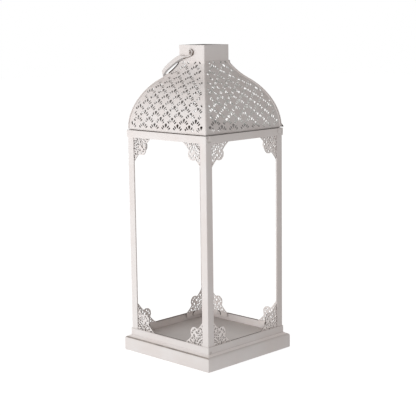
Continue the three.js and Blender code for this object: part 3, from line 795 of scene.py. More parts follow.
class LANTERN_OT_hips(bpy.types.Operator):
    """Builds the folded seams and creases along the four hips"""

    bl_idname = "lantern.hips"
    bl_label = "Hips"

    def execute(self, context):
        sections = {
            "crease": rounded_profile(CREASE * MM, 0.35 * MM),
            "seam": rounded_profile(SEAM * MM, 0.18 * MM),
        }
        for quarter, (kind, corner) in enumerate((
            ("crease", "front_right"), ("seam", "back_right"), ("crease", "back_left"),
            ("seam", "front_left"),
        )):
            points, faces = self.hip_strip(sections[kind], quarter)
            level = np.arange(len(faces)) // len(sections[kind])
            in_shade = (corner == "front_left") & (level >= SHADE_FROM)
            piece = add_piece(
                f"hip_edge_{corner}", points, faces, ["Roof paint", "Dark iron"],
                stands_for=[f"hip_{kind}_{corner}"], numbers=in_shade,
            )
        # The groove is dark as painted shade and the ridge is lit as a painted highlight
        for name, section, material in (
            ("groove", GROOVE * MM, "Dark iron"),
            ("ridge", rounded_profile(RIDGE * MM, 0.1 * MM), "Ledge paint"),
        ):
            piece = add_piece(f"hip_{name}_back_right", *self.edge_strip(section), [material])
        self.seam_end()
        return {"FINISHED"}

    def hip_strip(self, section, quarter):
        """A closed section of (across, outwards) points carried up the hip's curve."""
        half, height, normal = roof_at(np.linspace(0.2 * MM, ROOF[0][-1] - 0.3 * MM, HIP_LEVELS))
        base = np.stack([half, -half, height], -1)
        out = np.stack([normal[:, 0], -normal[:, 0], normal[:, 1]], -1)
        out /= np.linalg.norm(out, axis=1, keepdims=True)
        across = np.array([1, 1, 0]) / math.sqrt(2)
        grid = base[:, None] + section[None, :, :1] * across + section[None, :, 1:] * out[:, None]
        return capped(turned(grid, quarter))

    def edge_strip(self, section):
        """A closed section of (from the hip, proud of the sheet) up the right panel's back edge."""
        half, height, normal = roof_at(np.linspace(0.4 * MM, ROOF[0][-1] - 0.6 * MM, HIP_LEVELS))
        from_hip, proud = section.T
        grid = np.stack([
            half[:, None] - from_hip,
            -half[:, None] - proud * normal[:, :1],
            height[:, None] + proud * normal[:, 1:],
        ], -1)
        return capped(turned(grid, 1))

    def seam_end(self):
        """The open lower end of the folded seam at the back right, a small leaf bent out from it."""
        points, faces = slab(rounded_profile(LEAF * MM, 0.5 * MM), LEAF_SHEET)
        radial = points[:, 0] / math.sqrt(2) - ROOF_LOW[1]
        aside = (points[:, 2] - LEAF_SHEET / 2) / math.sqrt(2)
        placed = np.stack([radial + aside, aside - radial, ROOF_LOW[2] + points[:, 1]], -1)
        # The leaf is unpainted iron, darkened further as painted shade
        piece = add_piece("seam_end_back_right", turned(placed, 1), faces, ["Dark iron"])


# Brackets

# A bracket's reach along post and band and its lap behind the band. Its lobe's middle and radius,
# where the lobe starts and ends in degrees, and the number and depth of its scallops.
BRACKET_REACH, BRACKET_LAP = POST_EDGE + BRACKET_HIGH[0], BOTTOM_HIGH[2] - BRACKET_LOW[2]
LOBE, LOBE_RADIUS, LOBE_TURN = 14.2 * MM, 7.6 * MM, (-35, 125)
SCALLOPS, SCALLOP_DEPTH = 4, 0.35 * MM
BRACKET_OUT = -BRACKET_LOW[1]


def bracket_outline():
    """Outline of a bracket as (from the post's edge, from the band's edge), its hidden laps first.

    The lobe is an arc with four scallops, which follow the size of a sine. A Bezier curve leads
    from the lobe to the tip on the band, and its mirror image to the tip on the post.
    """
    hidden = POST_EDGE + BRACKET_LOW[0]
    lobe = arc([LOBE, LOBE], LOBE_RADIUS, *LOBE_TURN, 18)
    scallops = np.abs(np.sin(np.linspace(0, SCALLOPS * np.pi, len(lobe)))) - 1
    lobe = lobe + SCALLOP_DEPTH * scallops[:, None] * (lobe - LOBE) / LOBE_RADIUS
    tip = np.array([BRACKET_REACH, 0.0])
    handles = lobe[0] + [1.2 * MM, -2.8 * MM], tip + [-4.6 * MM, 3.4 * MM]
    low = bezier(lobe[0], *handles, tip, 9)[::-1]
    high = low[::-1, ::-1]
    laps = [[hidden, -BRACKET_LAP], [BRACKET_REACH, -BRACKET_LAP]]
    return np.concatenate([laps, low[:-1], lobe, high[1:], [[hidden, BRACKET_REACH]]])


# Openwork of a bracket below its diagonal: place from the post and from the band, turn in degrees,
# length and width, in millimetres. Each hole has a twin mirrored about the diagonal.
LACE = np.array([
    [14.1, 1.6, 0, 2.4, 2.3],
    [25.3, 0.9, 170, 2.2, 1.1],
    [21.0, 3.0, 48, 3.3, 1.4],
    [17.6, 1.6, 20, 2.0, 1.1],
    [12.6, 5.0, 80, 3.0, 1.4],
    [9.4, 5.0, 108, 3.0, 1.3],
    [17.9, 7.2, 118, 3.0, 1.4],
    [15.2, 10.6, 62, 3.6, 1.7],
    [18.7, 14.0, 100, 2.2, 1.7],
    [7.3, 1.5, 140, 3.2, 1.3],
    [10.8, 1.4, 30, 1.5, 1.1],
    [15.6, 4.6, 60, 1.6, 1.0],
    [15.0, 7.4, 100, 1.4, 1.0],
    [19.0, 10.7, 95, 2.0, 1.1],
    [20.7, 6.4, 130, 1.9, 1.0],
    [23.0, 0.7, 0, 1.2, 0.9],
    [4.2, 1.0, 10, 1.8, 1.0],
    [6.1, 3.9, 40, 1.6, 1.1],
    [28.0, 0.5, 0, 1.1, 0.6],
    [11.7, 8.3, 40, 1.7, 1.1],
])
LACE_DIAGONAL = np.array([
    [4.0, 4.0, 45, 2.2, 1.1],
    [8.0, 8.0, 45, 3.2, 1.5],
    [16.9, 16.9, 135, 2.4, 1.3],
])
# All holes are this much longer and wider than the tables say
LACE_LONGER, LACE_WIDER = 1.22, 1.7


def lace_holes(outline, bar):
    """Openwork of a bracket as outlines, each kept where it lies inside the plate by a bar's width."""
    mirrored = LACE[:, [1, 0, 2, 3, 4]] * [1, 1, -1, 1, 1] + [0, 0, 90, 0, 0]
    x, y, turn, length, width = np.concatenate([LACE, mirrored, LACE_DIAGONAL]).T
    length, width = LACE_LONGER * length * MM, LACE_WIDER * width * MM
    holes = ovals(x * MM, y * MM, np.radians(turn), length, width)
    return [hole for hole in holes if inside_by(outline, hole).min() >= bar]


# Where the slots behind the lower brackets lie from the post's edge, below the band's edge and in
# from the bracket's face, their radius and half width, and the radius and foot of their tabs
MARK_ASIDE, MARK_DROP, MARK_IN = 14.6 * MM, 3.6 * MM, 0.7 * MM
SLOT_RADIUS, SLOT_HALF, TAB_RADIUS, TAB_FOOT = 4.0 * MM, 0.75 * MM, 3.3 * MM, 1.2 * MM


class LANTERN_OT_brackets(bpy.types.Operator):
    """Builds the sixteen openwork corner brackets and the slots behind the lower ones"""

    bl_idname = "lantern.brackets"
    bl_label = "Corner brackets"

    def execute(self, context):
        sizes = context.scene.lantern_sizes
        outline = bracket_outline()
        flat, triangles = pierced(outline, lace_holes(outline, sizes.lace_bar))
        for quarter, face in enumerate(FACES):
            # The back and right brackets get lace lightened as painted light
            lace = "Pale lace" if face in ("back", "right") else "Lace paint"
            finishes = [lace, "Cut edge" if face == "back" else "Lace edge", lace]
            for level, start, way in (("upper", TOP_LOW[2], -1), ("lower", BOTTOM_HIGH[2], 1)):
                for hand, side in (("left", -1), ("right", 1)):
                    across, up = side * (POST_EDGE - flat[:, 0]), start + way * flat[:, 1]
                    front, back = (
                        on_face(np.stack([across, up, 0 * up + depth], -1), BRACKET_OUT, quarter)
                        for depth in (0, sizes.lace_sheet)
                    )
                    points, faces, numbers = thick(front, back, triangles)
                    name = f"{face}_{level}_{hand}"
                    piece = add_piece(
                        f"lace_{name}", points, faces, finishes, stands_for=[f"bracket_{name}"],
                        numbers=numbers,
                    )
                    if level == "lower":
                        self.slot_mark(f"{face}_{hand}", side, quarter)
        return {"FINISHED"}

    def crescent(self):
        """A bent slot: an arc whose width grows and shrinks with the sine along its length."""
        ray = arc([0, 0], 1.0, -28, 108, 14)
        turn = np.linspace(0.12, math.pi - 0.12, len(ray))
        half = SLOT_HALF * np.sin(turn)[:, None] ** 0.6
        return np.concatenate([ray * (SLOT_RADIUS + half), (ray * (SLOT_RADIUS - half))[::-1]])

    def half_moon(self):
        """A half circle on a short straight foot."""
        foot = np.array([[-TAB_RADIUS, -TAB_FOOT], [TAB_RADIUS, -TAB_FOOT]])
        return np.concatenate([arc([0, 0], TAB_RADIUS, 0, 180, 14), foot])

    def slot_mark(self, name, side, quarter):
        """A slot dark as painted shade, with a half-moon tab in front, on the inner side of a lower
        bracket.
        """
        for kind, outline, sheet, bevel, material in (
            ("slot", self.crescent(), 0.25 * MM, 0.05 * MM, "Dark iron"),
            ("tab", self.half_moon(), 0.4 * MM, 0.18 * MM, "Lace paint"),
        ):
            points, faces = slab(outline, sheet, bevel)
            across = side * (POST_EDGE - MARK_ASIDE - points[:, 0])
            up = BOTTOM_HIGH[2] - MARK_DROP + points[:, 1]
            flat = np.stack([across, up, points[:, 2]], -1)
            placed = on_face(flat, BRACKET_OUT - MARK_IN, quarter)
            piece = add_piece(f"{kind}_{name}", placed, faces, [material])


# Frame

# The plinth's sheet, the radius of its rolled edge, the floor's half side and how far the floor
# stands above the ledge
PLINTH_SHEET, ROLL, FLOOR_HALF, FLOOR_RISE = 1.2 * MM, 3.2 * MM, 66.4 * MM, 0.9 * MM
# The strip round the ledge with a painted highlight, and the line of painted shadow on the rolled edge,
# in degrees up its bend
HIGHLIGHT_STRIP, ROLL_SHADE_FROM, ROLL_SHADE_TO = 6.2 * MM, 34, 62


def steps_from(half, height, steps):
    """Points that lie (across, up) steps in millimetres from (half, height)."""
    return np.array([half, height]) + np.array(steps) * MM


class LANTERN_OT_plinth(bpy.types.Operator):
    """Builds the pan-shaped plinth with its rolled edge, ledge, raised floor and flange"""

    bl_idname = "lantern.plinth"
    bl_label = "Plinth"

    def execute(self, context):
        half, top, sheet = PLINTH_HIGH[0], PLINTH_HIGH[2], PLINTH_SHEET
        ledge = top - FLOOR_RISE
        bend = [half - ROLL, ledge - ROLL]
        under_floor = steps_from(FLOOR_HALF, top - sheet, [[-1.4, 0], [-0.5, -0.9]])
        flange_end = [[half - 5 * MM, sheet], [half - 5.3 * MM, sheet / 2]]
        flange = steps_from(half, 0, [[-5, 0], [-1.3, 0], [-0.5, 0.2], [0, 0.9]])
        bead = steps_from(half, ledge, [[-5.9, 1.9], [-6.05, 1.8], [-6.1, 0]])
        floor = steps_from(FLOOR_HALF, ledge, [[0.5, 0], [-0.1, 0.25], [-0.9, 0.75], [-1.6, 0.9]])
        profile = np.concatenate([
            [[0, top - sheet]], under_floor, arc(bend, ROLL - sheet, 90, 0, 8),
            [[half - sheet, sheet]], flange_end, flange, arc(bend, ROLL, 0, 90, 8), bead, floor,
            [[0, top]],
        ])
        points, faces = square_ring(profile, corner=0.014)
        x, y, z = np.abs(points[np.array(faces)].mean(1)).T
        above = z - ledge
        # The raised floor gets the floor paint, darkened as painted shade
        numbers = np.where(above > 0.5 * MM, 1, 0)
        # The outer strip of the ledge gets the painted highlight
        outer = (np.maximum(x, y) > half - HIGHLIGHT_STRIP) & (above > -0.1 * MM)
        numbers = np.where(outer, 2, numbers)
        # Faces partway up the roll on the front and back get the painted shadow line
        rise = np.degrees(np.arctan2(above + ROLL, y - half + ROLL))
        roll_shade = (y > x) & (y > half - ROLL) & (rise > ROLL_SHADE_FROM) & (rise < ROLL_SHADE_TO)
        piece = add_piece(
            "plinth_pan", points, faces, ["Frame paint", "Floor paint", "Ledge paint", "Grime"],
            stands_for=["base_plinth"], numbers=np.where(roll_shade, 3, numbers), sharp=50,
        )
        return {"FINISHED"}


class LANTERN_OT_posts(bpy.types.Operator):
    """Builds the two bands and the four angle posts with soft bends and edges"""

    bl_idname = "lantern.posts"
    bl_label = "Bands and posts"

    def execute(self, context):
        self.band("band_bottom", "bottom_band", BOTTOM_LOW, BOTTOM_HIGH, 1.95 * MM)
        self.band("band_top", "top_band", TOP_LOW, TOP_HIGH, FRAME_SHEET)
        out, inner = POST_HIGH[0], POST_HIGH[0] - FRAME_SHEET
        angle = rounded_profile(
            [[out, out], [POST_EDGE, out], [POST_EDGE, inner], [inner, inner], [inner, POST_EDGE],
             [out, POST_EDGE]],
            np.array([1.1, 0.25, 0.25, 0.5, 0.25, 0.25]) * MM, steps=5,
        )
        levels = np.linspace(POST_LOW[2], POST_HIGH[2], 9)
        grid = np.empty((len(levels), len(angle), 3))
        grid[..., :2], grid[..., 2] = angle, levels[:, None]
        for quarter, corner in enumerate(("back_right", "back_left", "front_left", "front_right")):
            piece = add_piece(
                f"post_{corner}", *capped(turned(grid, quarter)), ["Frame paint"],
                stands_for=[f"corner_post_{corner}"], sharp=50,
            )
        return {"FINISHED"}

    def band(self, name, node, low, high, lip):
        """A square ring of flat strip with a lip turned in at its upper edge."""
        outer, inner, foot, top = high[0], high[0] - FRAME_SHEET, low[2], high[2]
        section = rounded_profile(
            [[inner, foot], [outer, foot], [outer, top], [outer - lip, top],
             [outer - lip, top - 0.7 * MM], [inner, top - 0.8 * MM]],
            np.array([0.3, 0.3, 0.35, 0.1, 0.1, 0.05]) * MM,
        )
        points, faces = square_ring(section, corner=0.016)
        y = points[np.array(faces), 1].mean(1)
        # A strip along the bottom band's top edge gets the painted highlight
        pale = (name == "band_bottom") & (y > outer - 1.2 * MM) & (y < outer - 0.4 * MM)
        piece = add_piece(
            name, points, faces, ["Frame paint", "Ledge paint"], stands_for=[node], numbers=pale,
            sharp=60,
        )


# Drops of solder on the right face: name, place across and up, half width and half height in
# millimetres, seed of the outline and finish
SOLDER = (
    ("front_top", -66.2, 286.6, 3.4, 2.0, 1, "Cut edge"),
    ("front_top_low", -65.4, 282.4, 2.9, 1.2, 2, "Solder"),
    ("front_foot", -67.2, 22.4, 2.2, 1.7, 3, "Solder"),
    ("back_top", 67.6, 285.4, 2.2, 2.6, 4, "Solder"),
)
SOLDER_HEIGHT, SOLDER_GAP = 0.55 * MM, 0.02 * MM


class LANTERN_OT_fittings(bpy.types.Operator):
    """Builds the hem under the roof in painted shade, the clips that hold it and the solder on the
    right face
    """

    bl_idname = "lantern.fittings"
    bl_label = "Clips and solder"

    def execute(self, context):
        self.hem()
        self.joint_lines()
        self.clips()
        for name, across, up, wide, tall, seed, material in SOLDER:
            points, faces = self.bead(wide * MM, tall * MM, seed)
            points = points + np.array([across, up, 0]) * MM
            placed = on_face(points, TOP_HIGH[0] + SOLDER_GAP, 1)
            piece = add_piece(f"solder_{name}", placed, faces, [material])
        return {"FINISHED"}

    def hem(self):
        """The roof's hem in the top band, coloured as painted shade: dark on the front and left, a
        paler painted shade on the right and back.
        """
        half, foot, low = -ROOF_LOW[1] - 1.3 * MM, ROOF_LOW[2], TOP_LOW[2] + 0.2 * MM
        section = [[half - 0.7 * MM, low], [half - 0.1 * MM, low], [half, foot + 0.1 * MM],
                   [half - 0.7 * MM, foot + 0.6 * MM]]
        points, faces = square_ring(section, corner=0.012)
        x, y, _ = points[np.array(faces)].mean(1).T
        piece = add_piece(
            "roof_hem", points, faces, ["Dark iron", "Thin paint"],
            numbers=np.maximum(x, y) > 0.9 * half, sharp=60,
        )

    def joint_lines(self):
        """A dark line of painted shadow on each side along the inner edge of the bottom band."""
        line = np.array([[-28.0, -0.5], [28.0, -0.5], [28.0, 0.35], [-28.0, 0.35]]) * MM
        points, faces = slab(rounded_profile(line, 0.3 * MM), 0.7 * MM)
        points = points + [0, BOTTOM_HIGH[2], 0]
        for quarter, face in enumerate(FACES):
            placed = on_face(points, BOTTOM_HIGH[0] - 1.9 * MM, quarter)
            piece = add_piece(f"joint_line_{face}", placed, faces, ["Dark iron"])

    def clips(self):
        """The tabs on the right and left faces that hold the roof."""
        sheet, width, height = CLIP_HIGH - CLIP_LOW
        middle = (CLIP_LOW + CLIP_HIGH) / 2
        outline = rounded_profile(
            np.array([[-0.5, -0.5], [0.5, -0.5], [0.5, 0.5], [-0.5, 0.5]]) * [width, height],
            np.array([1.6, 1.6, 0.3, 0.3]) * MM, steps=5,
        )
        points, faces = slab(outline, sheet, bevel=0.25 * MM)
        for face, quarter in (("right", 1), ("left", 3)):
            for hand, side in (("left", -1), ("right", 1)):
                moved = points + [side * abs(middle[1]), middle[2], 0]
                placed = on_face(moved, CLIP_HIGH[0], quarter)
                piece = add_piece(
                    f"clip_{face}_{hand}", placed, faces, ["Frame paint"],
                    stands_for=[f"roof_tab_{face}_{hand}"],
                )

    def bead(self, wide, tall, seed):
        """A flat drop of solder: a dome over a wavy round outline, closed by a flat back.

        The radius is one plus a few sines of the angle. The height is the square root of one minus
        the share of the radius squared.
        """
        phase = np.random.default_rng(seed).uniform(0, 2 * np.pi, 3)
        t = np.linspace(0, 2 * np.pi, 28, endpoint=False)
        wave = 1 + 0.14 * np.sin(2 * t + phase[0]) + 0.10 * np.sin(3 * t + phase[1])
        wave += 0.05 * np.sin(5 * t + phase[2])
        share = np.cos(np.radians(np.linspace(0, 84, 8)))[:, None]
        x, y = share * wave * np.cos(t) * wide, share * wave * np.sin(t) * tall
        upper = np.stack([x, y, 0 * x - np.sqrt(1 - share**2) * SOLDER_HEIGHT], -1)
        return capped(np.concatenate([upper[:1] + [0, 0, 0.3 * MM], upper]))


# Neck and bail

# The neck's strip: where it starts, its corners' radius, and the lengths of a straight side, a bend
# and both together
NECK_START = NECK_LOW[2] + 5.2 * MM
NECK_CORNER = 1.3 * MM
NECK_STRAIGHT = 2 * (NECK_HIGH[0] - NECK_CORNER)
NECK_BEND = NECK_CORNER * math.pi / 2
NECK_SIDE = NECK_STRAIGHT + NECK_BEND
HOOK_HOLE = 4.0 * MM


class LANTERN_OT_neck(bpy.types.Operator):
    """Builds the square neck from one bent strip with a hole for each end of the bail"""

    bl_idname = "lantern.neck"
    bl_label = "Neck"

    def execute(self, context):
        half_side = np.linspace(0, NECK_STRAIGHT / 2, 4)[1:]
        bend = np.linspace(0, NECK_BEND, 6)[1:]
        stops = np.zeros(1)
        for part in 4 * (half_side, bend, half_side):
            stops = np.concatenate([stops, stops[-1] + part])
        low, high = (np.stack([stops, 0 * stops + z], -1) for z in (NECK_START, NECK_HIGH[2]))
        outline = np.concatenate([low, high[::-1]])
        middles = np.array([1, 3]) * NECK_SIDE
        holes = ovals(middles, PIVOT[2], 0.0, HOOK_HOLE, HOOK_HOLE, steps=24)
        flat, triangles = pierced(outline, holes, folds_across(outline))
        points, faces, numbers = thick(self.bent(flat, 0), self.bent(flat, FRAME_SHEET), triangles)
        x, _, z = np.array([points[face].mean(0) for face in faces]).T
        # The walls of the holes are dark as painted shade, and the inside is painted shade
        in_hole = (np.hypot(x, z - PIVOT[2]) < 0.75 * HOOK_HOLE) & (numbers == 1)
        piece = add_piece(
            "neck_tube", points, faces, ["Frame paint", "Cut edge", "Thin paint", "Dark iron"],
            stands_for=["neck_collar"], numbers=np.where(in_hole, 3, numbers),
        )
        self.rings()
        return {"FINISHED"}

    def bent(self, flat, depth):
        """Wraps (along, height) points round the square: half a side, a quarter circle, half a side.

        The strip starts and ends in the middle of the left face. depth goes inwards through it.
        """
        quarter = np.minimum(np.floor(flat[:, 0] / NECK_SIDE + 1e-9), 3).astype(int)
        along = flat[:, 0] - quarter * NECK_SIDE
        turn = np.clip((along - NECK_STRAIGHT / 2) / NECK_BEND, 0, 1) * math.pi / 2
        before = np.minimum(along, NECK_STRAIGHT / 2)
        after = np.maximum(along - NECK_STRAIGHT / 2 - NECK_BEND, 0)
        radius = NECK_CORNER - depth
        x = NECK_CORNER - NECK_HIGH[0] - radius * np.cos(turn) + after
        y = -before - radius * np.sin(turn)
        c, s = np.array([1, 0, -1, 0])[quarter], np.array([0, 1, 0, -1])[quarter]
        return np.stack([c * x - s * y, s * x + c * y, flat[:, 1]], -1)

    def rings(self):
        """Round each hole, a ring of painted shade inside the neck, and outside one of painted shadow
        where the hook's shadow falls.

        Each is a small rectangle carried round a circle: its radii, and its depths from the
        neck's inner face.
        """
        ray = arc([0, 0], 1.0, 0, 360, 32)[:-1]
        faces = grid_faces(len(ray), 4, wrap_rows=True, wrap_columns=True).tolist()
        for name, start, end, low, high in (
            ("hole_shade", 1.5, 3.3, 0.05, 0.35),
            ("rubbed_ring", 2.6, 4.1, -0.86, -0.78),
        ):
            section = np.array([[start, low], [end, low], [end, high], [start, high]]) * MM
            grid = np.empty((len(ray), 4, 3))
            grid[..., :2] = ray[:, None] * section[None, :, :1] + [0, PIVOT[2]]
            grid[..., 2] = section[:, 1]
            for quarter in (0, 2):
                placed = on_face(grid.reshape(-1, 3), NECK_HIGH[0] - FRAME_SHEET, quarter)
                piece = add_piece(f"{name}_{FACES[quarter]}", placed, faces, ["Worn wire"])


# The bail's middle line in millimetres: the hooks' radius, how far they stand from the lantern's
# middle, where the arch starts, its crown's reach, and how far the arch is set off
HOOK, ARM, ARCH_START, REACH, OFFSET = 3.7, 24.7, 25.0, 76.0, 2.8
# Parts of the pin, its bend and the hook, the wire's radius, and where the wire grows to a strap
PIN_STEPS, BEND_STEPS, RING_STEPS = 3, 12, 24
WIRE, STRAP_SPAN = 0.85 * MM, (5 * MM, 24 * MM)


class LANTERN_OT_bail(bpy.types.Operator):
    """Builds the swinging bail: a strap that narrows to a hooked wire at each end"""

    bl_idname = "lantern.bail"
    bl_label = "Bail"

    def path(self):
        """Middle line from one hook's tip to the crown as (reach, offset, along the pivots).

        A straight pin, a Bezier bend, half a circle round the pivot, a Bezier sweep and a quarter
        of an ellipse.
        """
        tip, pin_end, sweep_handle = [0, 0, -19.7], [0, 0, -22.8], 9
        pin = np.linspace(tip, pin_end, PIN_STEPS + 1)[:-1]
        handles = [0, 0, -ARM - 0.6], [1.6, HOOK, -ARM]
        bend = bezier(pin_end, *handles, [0, HOOK, -ARM], BEND_STEPS)[:-1]
        circle = arc([0, 0], HOOK, 90, 270, RING_STEPS)[:-1]
        ring = np.column_stack([circle, np.full(RING_STEPS, -ARM)])
        handles = [sweep_handle, -HOOK, -ARM], [ARCH_START - sweep_handle, OFFSET, -ARM]
        sweep = bezier([0, -HOOK, -ARM], *handles, [ARCH_START, OFFSET, -ARM], 30)
        along, aside = arc([0, 0], 1.0, 90, 0, 60)[1:].T
        out = ARCH_START + (REACH - ARCH_START) * along
        arch = np.stack([out, 0 * out + OFFSET, -ARM * aside], -1)
        return np.concatenate([pin, bend, ring, sweep, arch]) * MM

    def width_axes(self, tangent, crown):
        """Direction of the strap's width: along the crown's own, then turned as little as it can be.

        Each step takes out of the last direction the part that lies along the new tangent.
        """
        width = np.zeros_like(tangent)
        width[crown] = [0, 0, 1]
        for step in (1, -1):
            at = crown
            while 0 <= at + step < len(tangent):
                moved = width[at] - tangent[at + step] * (width[at] @ tangent[at + step])
                width[at + step] = moved / np.linalg.norm(moved)
                at += step
        return width

    def strap_share(self, reach):
        """How far the wire has become a strap: 0 on the hook, 1 from 24 mm out, and smooth between."""
        share = part_way(reach, STRAP_SPAN)
        hook_points = PIN_STEPS + BEND_STEPS + RING_STEPS
        share[:hook_points] = share[-hook_points:] = 0
        return share**2 * (3 - 2 * share)

    def rest_angle(self):
        """The bail's rest angle, from the frame's own strap.

        The strap's crown is the farthest part of the solid from the pivots. Its middle lies at the
        path's reach and offset, so the angle between the two directions is the rest angle.
        """
        solid = frame["nodes"]["bail_handle"].data
        co = np.empty(len(solid.vertices) * 3, np.float32)
        solid.vertices.foreach_get("co", co)
        co = co.reshape(-1, 3) - PIVOT
        crown = co[np.abs(co[:, 1]) < 0.5 * MM]
        crown = crown[np.hypot(crown[:, 0], crown[:, 2]) > 60 * MM].mean(0)
        return math.atan2(crown[2], crown[0]) - math.atan2(OFFSET, -REACH)

    def execute(self, context):
        sizes = context.scene.lantern_sizes
        half = self.path()
        reach, offset, aside = np.concatenate([half, (half * [1, 1, -1])[::-1][1:]]).T
        centres = np.stack([-reach, aside, offset], -1)
        tangent = np.gradient(centres, axis=0)
        tangent /= np.linalg.norm(tangent, axis=1, keepdims=True)
        width = self.width_axes(tangent, len(half) - 1)
        share = self.strap_share(reach)
        grid = tube(
            centres, width, np.cross(tangent, width), WIRE + (sizes.strap_width / 2 - WIRE) * share,
            WIRE + (sizes.strap_thickness / 2 - WIRE) * share, 1 - 0.62 * share,
        )
        rest = self.rest_angle()
        c, s = math.cos(rest), math.sin(rest)
        grid = grid @ np.array([[c, 0, s], [0, 1, 0], [-s, 0, c]]) + [PIVOT[0], 0, PIVOT[2]]
        out = grid - grid.mean(1, keepdims=True)
        out = (out + np.roll(out, -1, 1))[:-1]
        out /= np.linalg.norm(out, axis=2, keepdims=True)
        # Wire faces towards the lower right get the painted shadow, and faces below get Bail shade, a
        # painted shade
        shaded_wire = (share[:-1] < 0.4)[:, None] & (out @ np.array([0.5, 0.0, -0.86]) > 0.35)
        numbers = np.where(shaded_wire, 2, np.where(out[..., 2] < -0.55, 1, 0))
        piece = add_piece(
            "bail_strap", *capped(grid), ["Bail paint", "Bail shade", "Worn wire"], rides="bail",
            stands_for=["bail_handle"], numbers=np.r_[numbers.ravel(), 0, 0],
        )
        return {"FINISHED"}


# Stage

WHITE = (1, 1, 1, 1)
SOFT_WHITE = (1.0, 0.955, 0.925, 1)
LAMP_SIDE, LAMP_DISTANCE, LAMP_AIM = 0.8, 2.0, (0, 0, 0.2)
TABLE_HALF = 6.0


def direction(azimuth, elevation):
    """Unit vector away from the lantern: to the front at azimuth 0, then round to the right."""
    level = math.cos(elevation)
    return np.array([math.sin(azimuth) * level, -math.cos(azimuth) * level, math.sin(elevation)])


def put(name, data, axes, place):
    """Adds an object at a place, with its own axes along three given ones."""
    made = bpy.data.objects.new(name, data)
    matrix = np.eye(4)
    matrix[:3, :3] = np.transpose(axes)
    matrix[:3, 3] = place
    made.matrix_world = Matrix(matrix.tolist())
    bpy.context.scene.collection.objects.link(made)
    return made


def from_side(tree, coordinate, side, limits, far, near):
    """A value that goes smoothly from far to near towards a side: it follows place dot side."""
    where = add_node(tree, "TexCoord", {}).outputs[coordinate]
    towards = add_node(tree, "VectorMath", {0: where, 1: side}, operation="DOT_PRODUCT")
    return smooth_ramp(tree, towards.outputs["Value"], *limits, far, near)


def seen(tree):
    """One where a ray comes from the camera, a reflection or glass."""
    path = add_node(tree, "LightPath", {}).outputs
    mirrored = maths(tree, "MAXIMUM", path["Is Camera Ray"], path["Is Glossy Ray"])
    return maths(tree, "MAXIMUM", mirrored, path["Is Transmission Ray"])


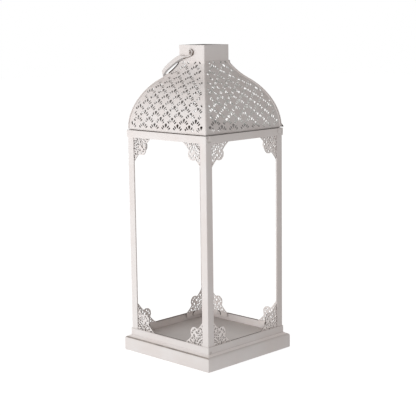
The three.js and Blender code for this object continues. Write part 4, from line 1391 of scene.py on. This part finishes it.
class LANTERN_OT_stage(bpy.types.Operator):
    """Sets up the camera, the lamp, the white background and the pale table"""

    bl_idname = "lantern.stage"
    bl_label = "Stage"

    def execute(self, context):
        stage = context.scene.lantern_stage
        self.camera(context, stage)
        self.world(context, stage)
        self.lamp(stage)
        self.table(context, stage)
        context.scene.view_settings.view_transform = "Standard"
        return {"FINISHED"}

    def camera(self, context, stage):
        """Camera from its azimuth, elevation and distance, rolled about its own axis."""
        back = direction(stage.azimuth, stage.elevation)
        right = direction(stage.azimuth + math.pi / 2, 0)
        up = np.cross(back, right)
        target = np.array([0, 0, stage.aim_height]) + stage.aim_aside * right
        c, s = math.cos(stage.roll), math.sin(stage.roll)
        axes = [c * right - s * up, s * right + c * up, back]
        data = bpy.data.cameras.new("Camera")
        data.sensor_width, data.lens = 36.0, stage.lens
        data.clip_start, data.clip_end = 0.05, 50.0
        context.scene.camera = put("Camera", data, axes, target + stage.distance * back)

    def world(self, context, stage):
        """White where the camera sees it, else a soft light that is stronger from the backdrop."""
        world = bpy.data.worlds.new("Studio")
        context.scene.world = world
        world.use_nodes = True
        tree = world.node_tree
        tree.nodes.clear()
        glow = from_side(
            tree, "Generated", (-0.7, 0.7, -0.2), (0.1, 0.9), stage.sky, stage.backdrop
        )
        soft = add_node(tree, "Background", {"Color": SOFT_WHITE, "Strength": glow}).outputs[0]
        white = add_node(tree, "Background", {"Color": WHITE}).outputs[0]
        mix = add_node(tree, "MixShader", {0: seen(tree), 1: soft, 2: white})
        add_node(tree, "OutputWorld", {"Surface": mix.outputs[0]})

    def lamp(self, stage):
        """One large soft lamp at the front left, a little above the lantern's foot."""
        data = bpy.data.lights.new("Key", "AREA")
        data.shape, data.size, data.size_y = "RECTANGLE", LAMP_SIDE, LAMP_SIDE
        data.energy, data.color = stage.key, (0.985, 1.0, 1.0)
        z = direction(stage.key_azimuth, stage.key_elevation)
        x = np.cross([0, 0, 1], z)
        x /= np.linalg.norm(x)
        put("Key", data, [x, np.cross(z, x), z], LAMP_DISTANCE * z + LAMP_AIM)

    def table(self, context, stage):
        """A pale table that looks white, keeps a faint shadow and throws light back up."""
        mesh = bpy.data.meshes.new("Table")
        corners = TABLE_HALF * np.array([[-1, -1, 0], [1, -1, 0], [1, 1, 0], [-1, 1, 0]])
        mesh.from_pydata(corners.tolist(), [], [(0, 1, 2, 3)])
        table = bpy.data.objects.new("Table", mesh)
        context.scene.collection.objects.link(table)
        material = bpy.data.materials.new("Pale table")
        material.use_nodes = True
        tree = material.node_tree
        tree.nodes.clear()

        def glowing(strength, pale):
            light = add_node(tree, "Emission", {"Strength": strength}).outputs[0]
            shade = add_node(tree, "BsdfDiffuse", {"Color": (pale, pale, pale, 1)}).outputs[0]
            return add_node(tree, "AddShader", {0: light, 1: shade}).outputs[0]

        pool = from_side(
            tree, "Object", (-0.45, -0.9, 0), (-0.25, 0.45), stage.table, stage.pool
        )
        sides = {0: seen(tree), 1: glowing(pool, 0.4), 2: glowing(0.9, 0.3)}
        mix = add_node(tree, "MixShader", sides)
        add_node(tree, "OutputMaterial", {"Surface": mix.outputs[0]})
        mesh.materials.append(material)


class LANTERN_PT_panel(bpy.types.Panel):
    """Lists the lantern's sizes, colours and parts"""

    bl_label = "Garden lantern"
    bl_idname = "LANTERN_PT_panel"
    bl_space_type = "VIEW_3D"
    bl_region_type = "UI"
    bl_category = "Lantern"

    def draw(self, context):
        layout = self.layout
        for title, group in (
            ("Sizes", context.scene.lantern_sizes),
            ("Paint", context.scene.lantern_paint),
            ("Stage", context.scene.lantern_stage),
        ):
            column = layout.box().column()
            column.label(text=title)
            for key in group.__annotations__:
                column.prop(group, key)
        column = layout.column()
        for operator in OPERATORS:
            column.operator(operator.bl_idname)


OPERATORS = (
    LANTERN_OT_plinth,
    LANTERN_OT_posts,
    LANTERN_OT_brackets,
    LANTERN_OT_roof,
    LANTERN_OT_hips,
    LANTERN_OT_fittings,
    LANTERN_OT_neck,
    LANTERN_OT_bail,
    LANTERN_OT_stage,
)
GROUPS = (
    ("lantern_sizes", LanternSizes),
    ("lantern_paint", LanternPaint),
    ("lantern_stage", LanternStage),
)


def register():
    """Registers the groups, operators and panel."""
    for name, group in GROUPS:
        bpy.utils.register_class(group)
        setattr(bpy.types.Scene, name, bpy.props.PointerProperty(type=group))
    for operator in OPERATORS:
        bpy.utils.register_class(operator)
    bpy.utils.register_class(LANTERN_PT_panel)


def unregister():
    """Takes them out again."""
    bpy.utils.unregister_class(LANTERN_PT_panel)
    for operator in reversed(OPERATORS):
        bpy.utils.unregister_class(operator)
    for name, group in reversed(GROUPS):
        delattr(bpy.types.Scene, name)
        bpy.utils.unregister_class(group)


def main():
    """Builds every piece and the stage."""
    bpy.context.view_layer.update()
    register()
    bpy.ops.lantern.plinth()
    bpy.ops.lantern.posts()
    bpy.ops.lantern.brackets()
    bpy.ops.lantern.roof()
    bpy.ops.lantern.hips()
    bpy.ops.lantern.fittings()
    bpy.ops.lantern.neck()
    bpy.ops.lantern.bail()
    bpy.ops.lantern.stage()
    bpy.context.view_layer.update()


if __name__ == "__main__":
    main()
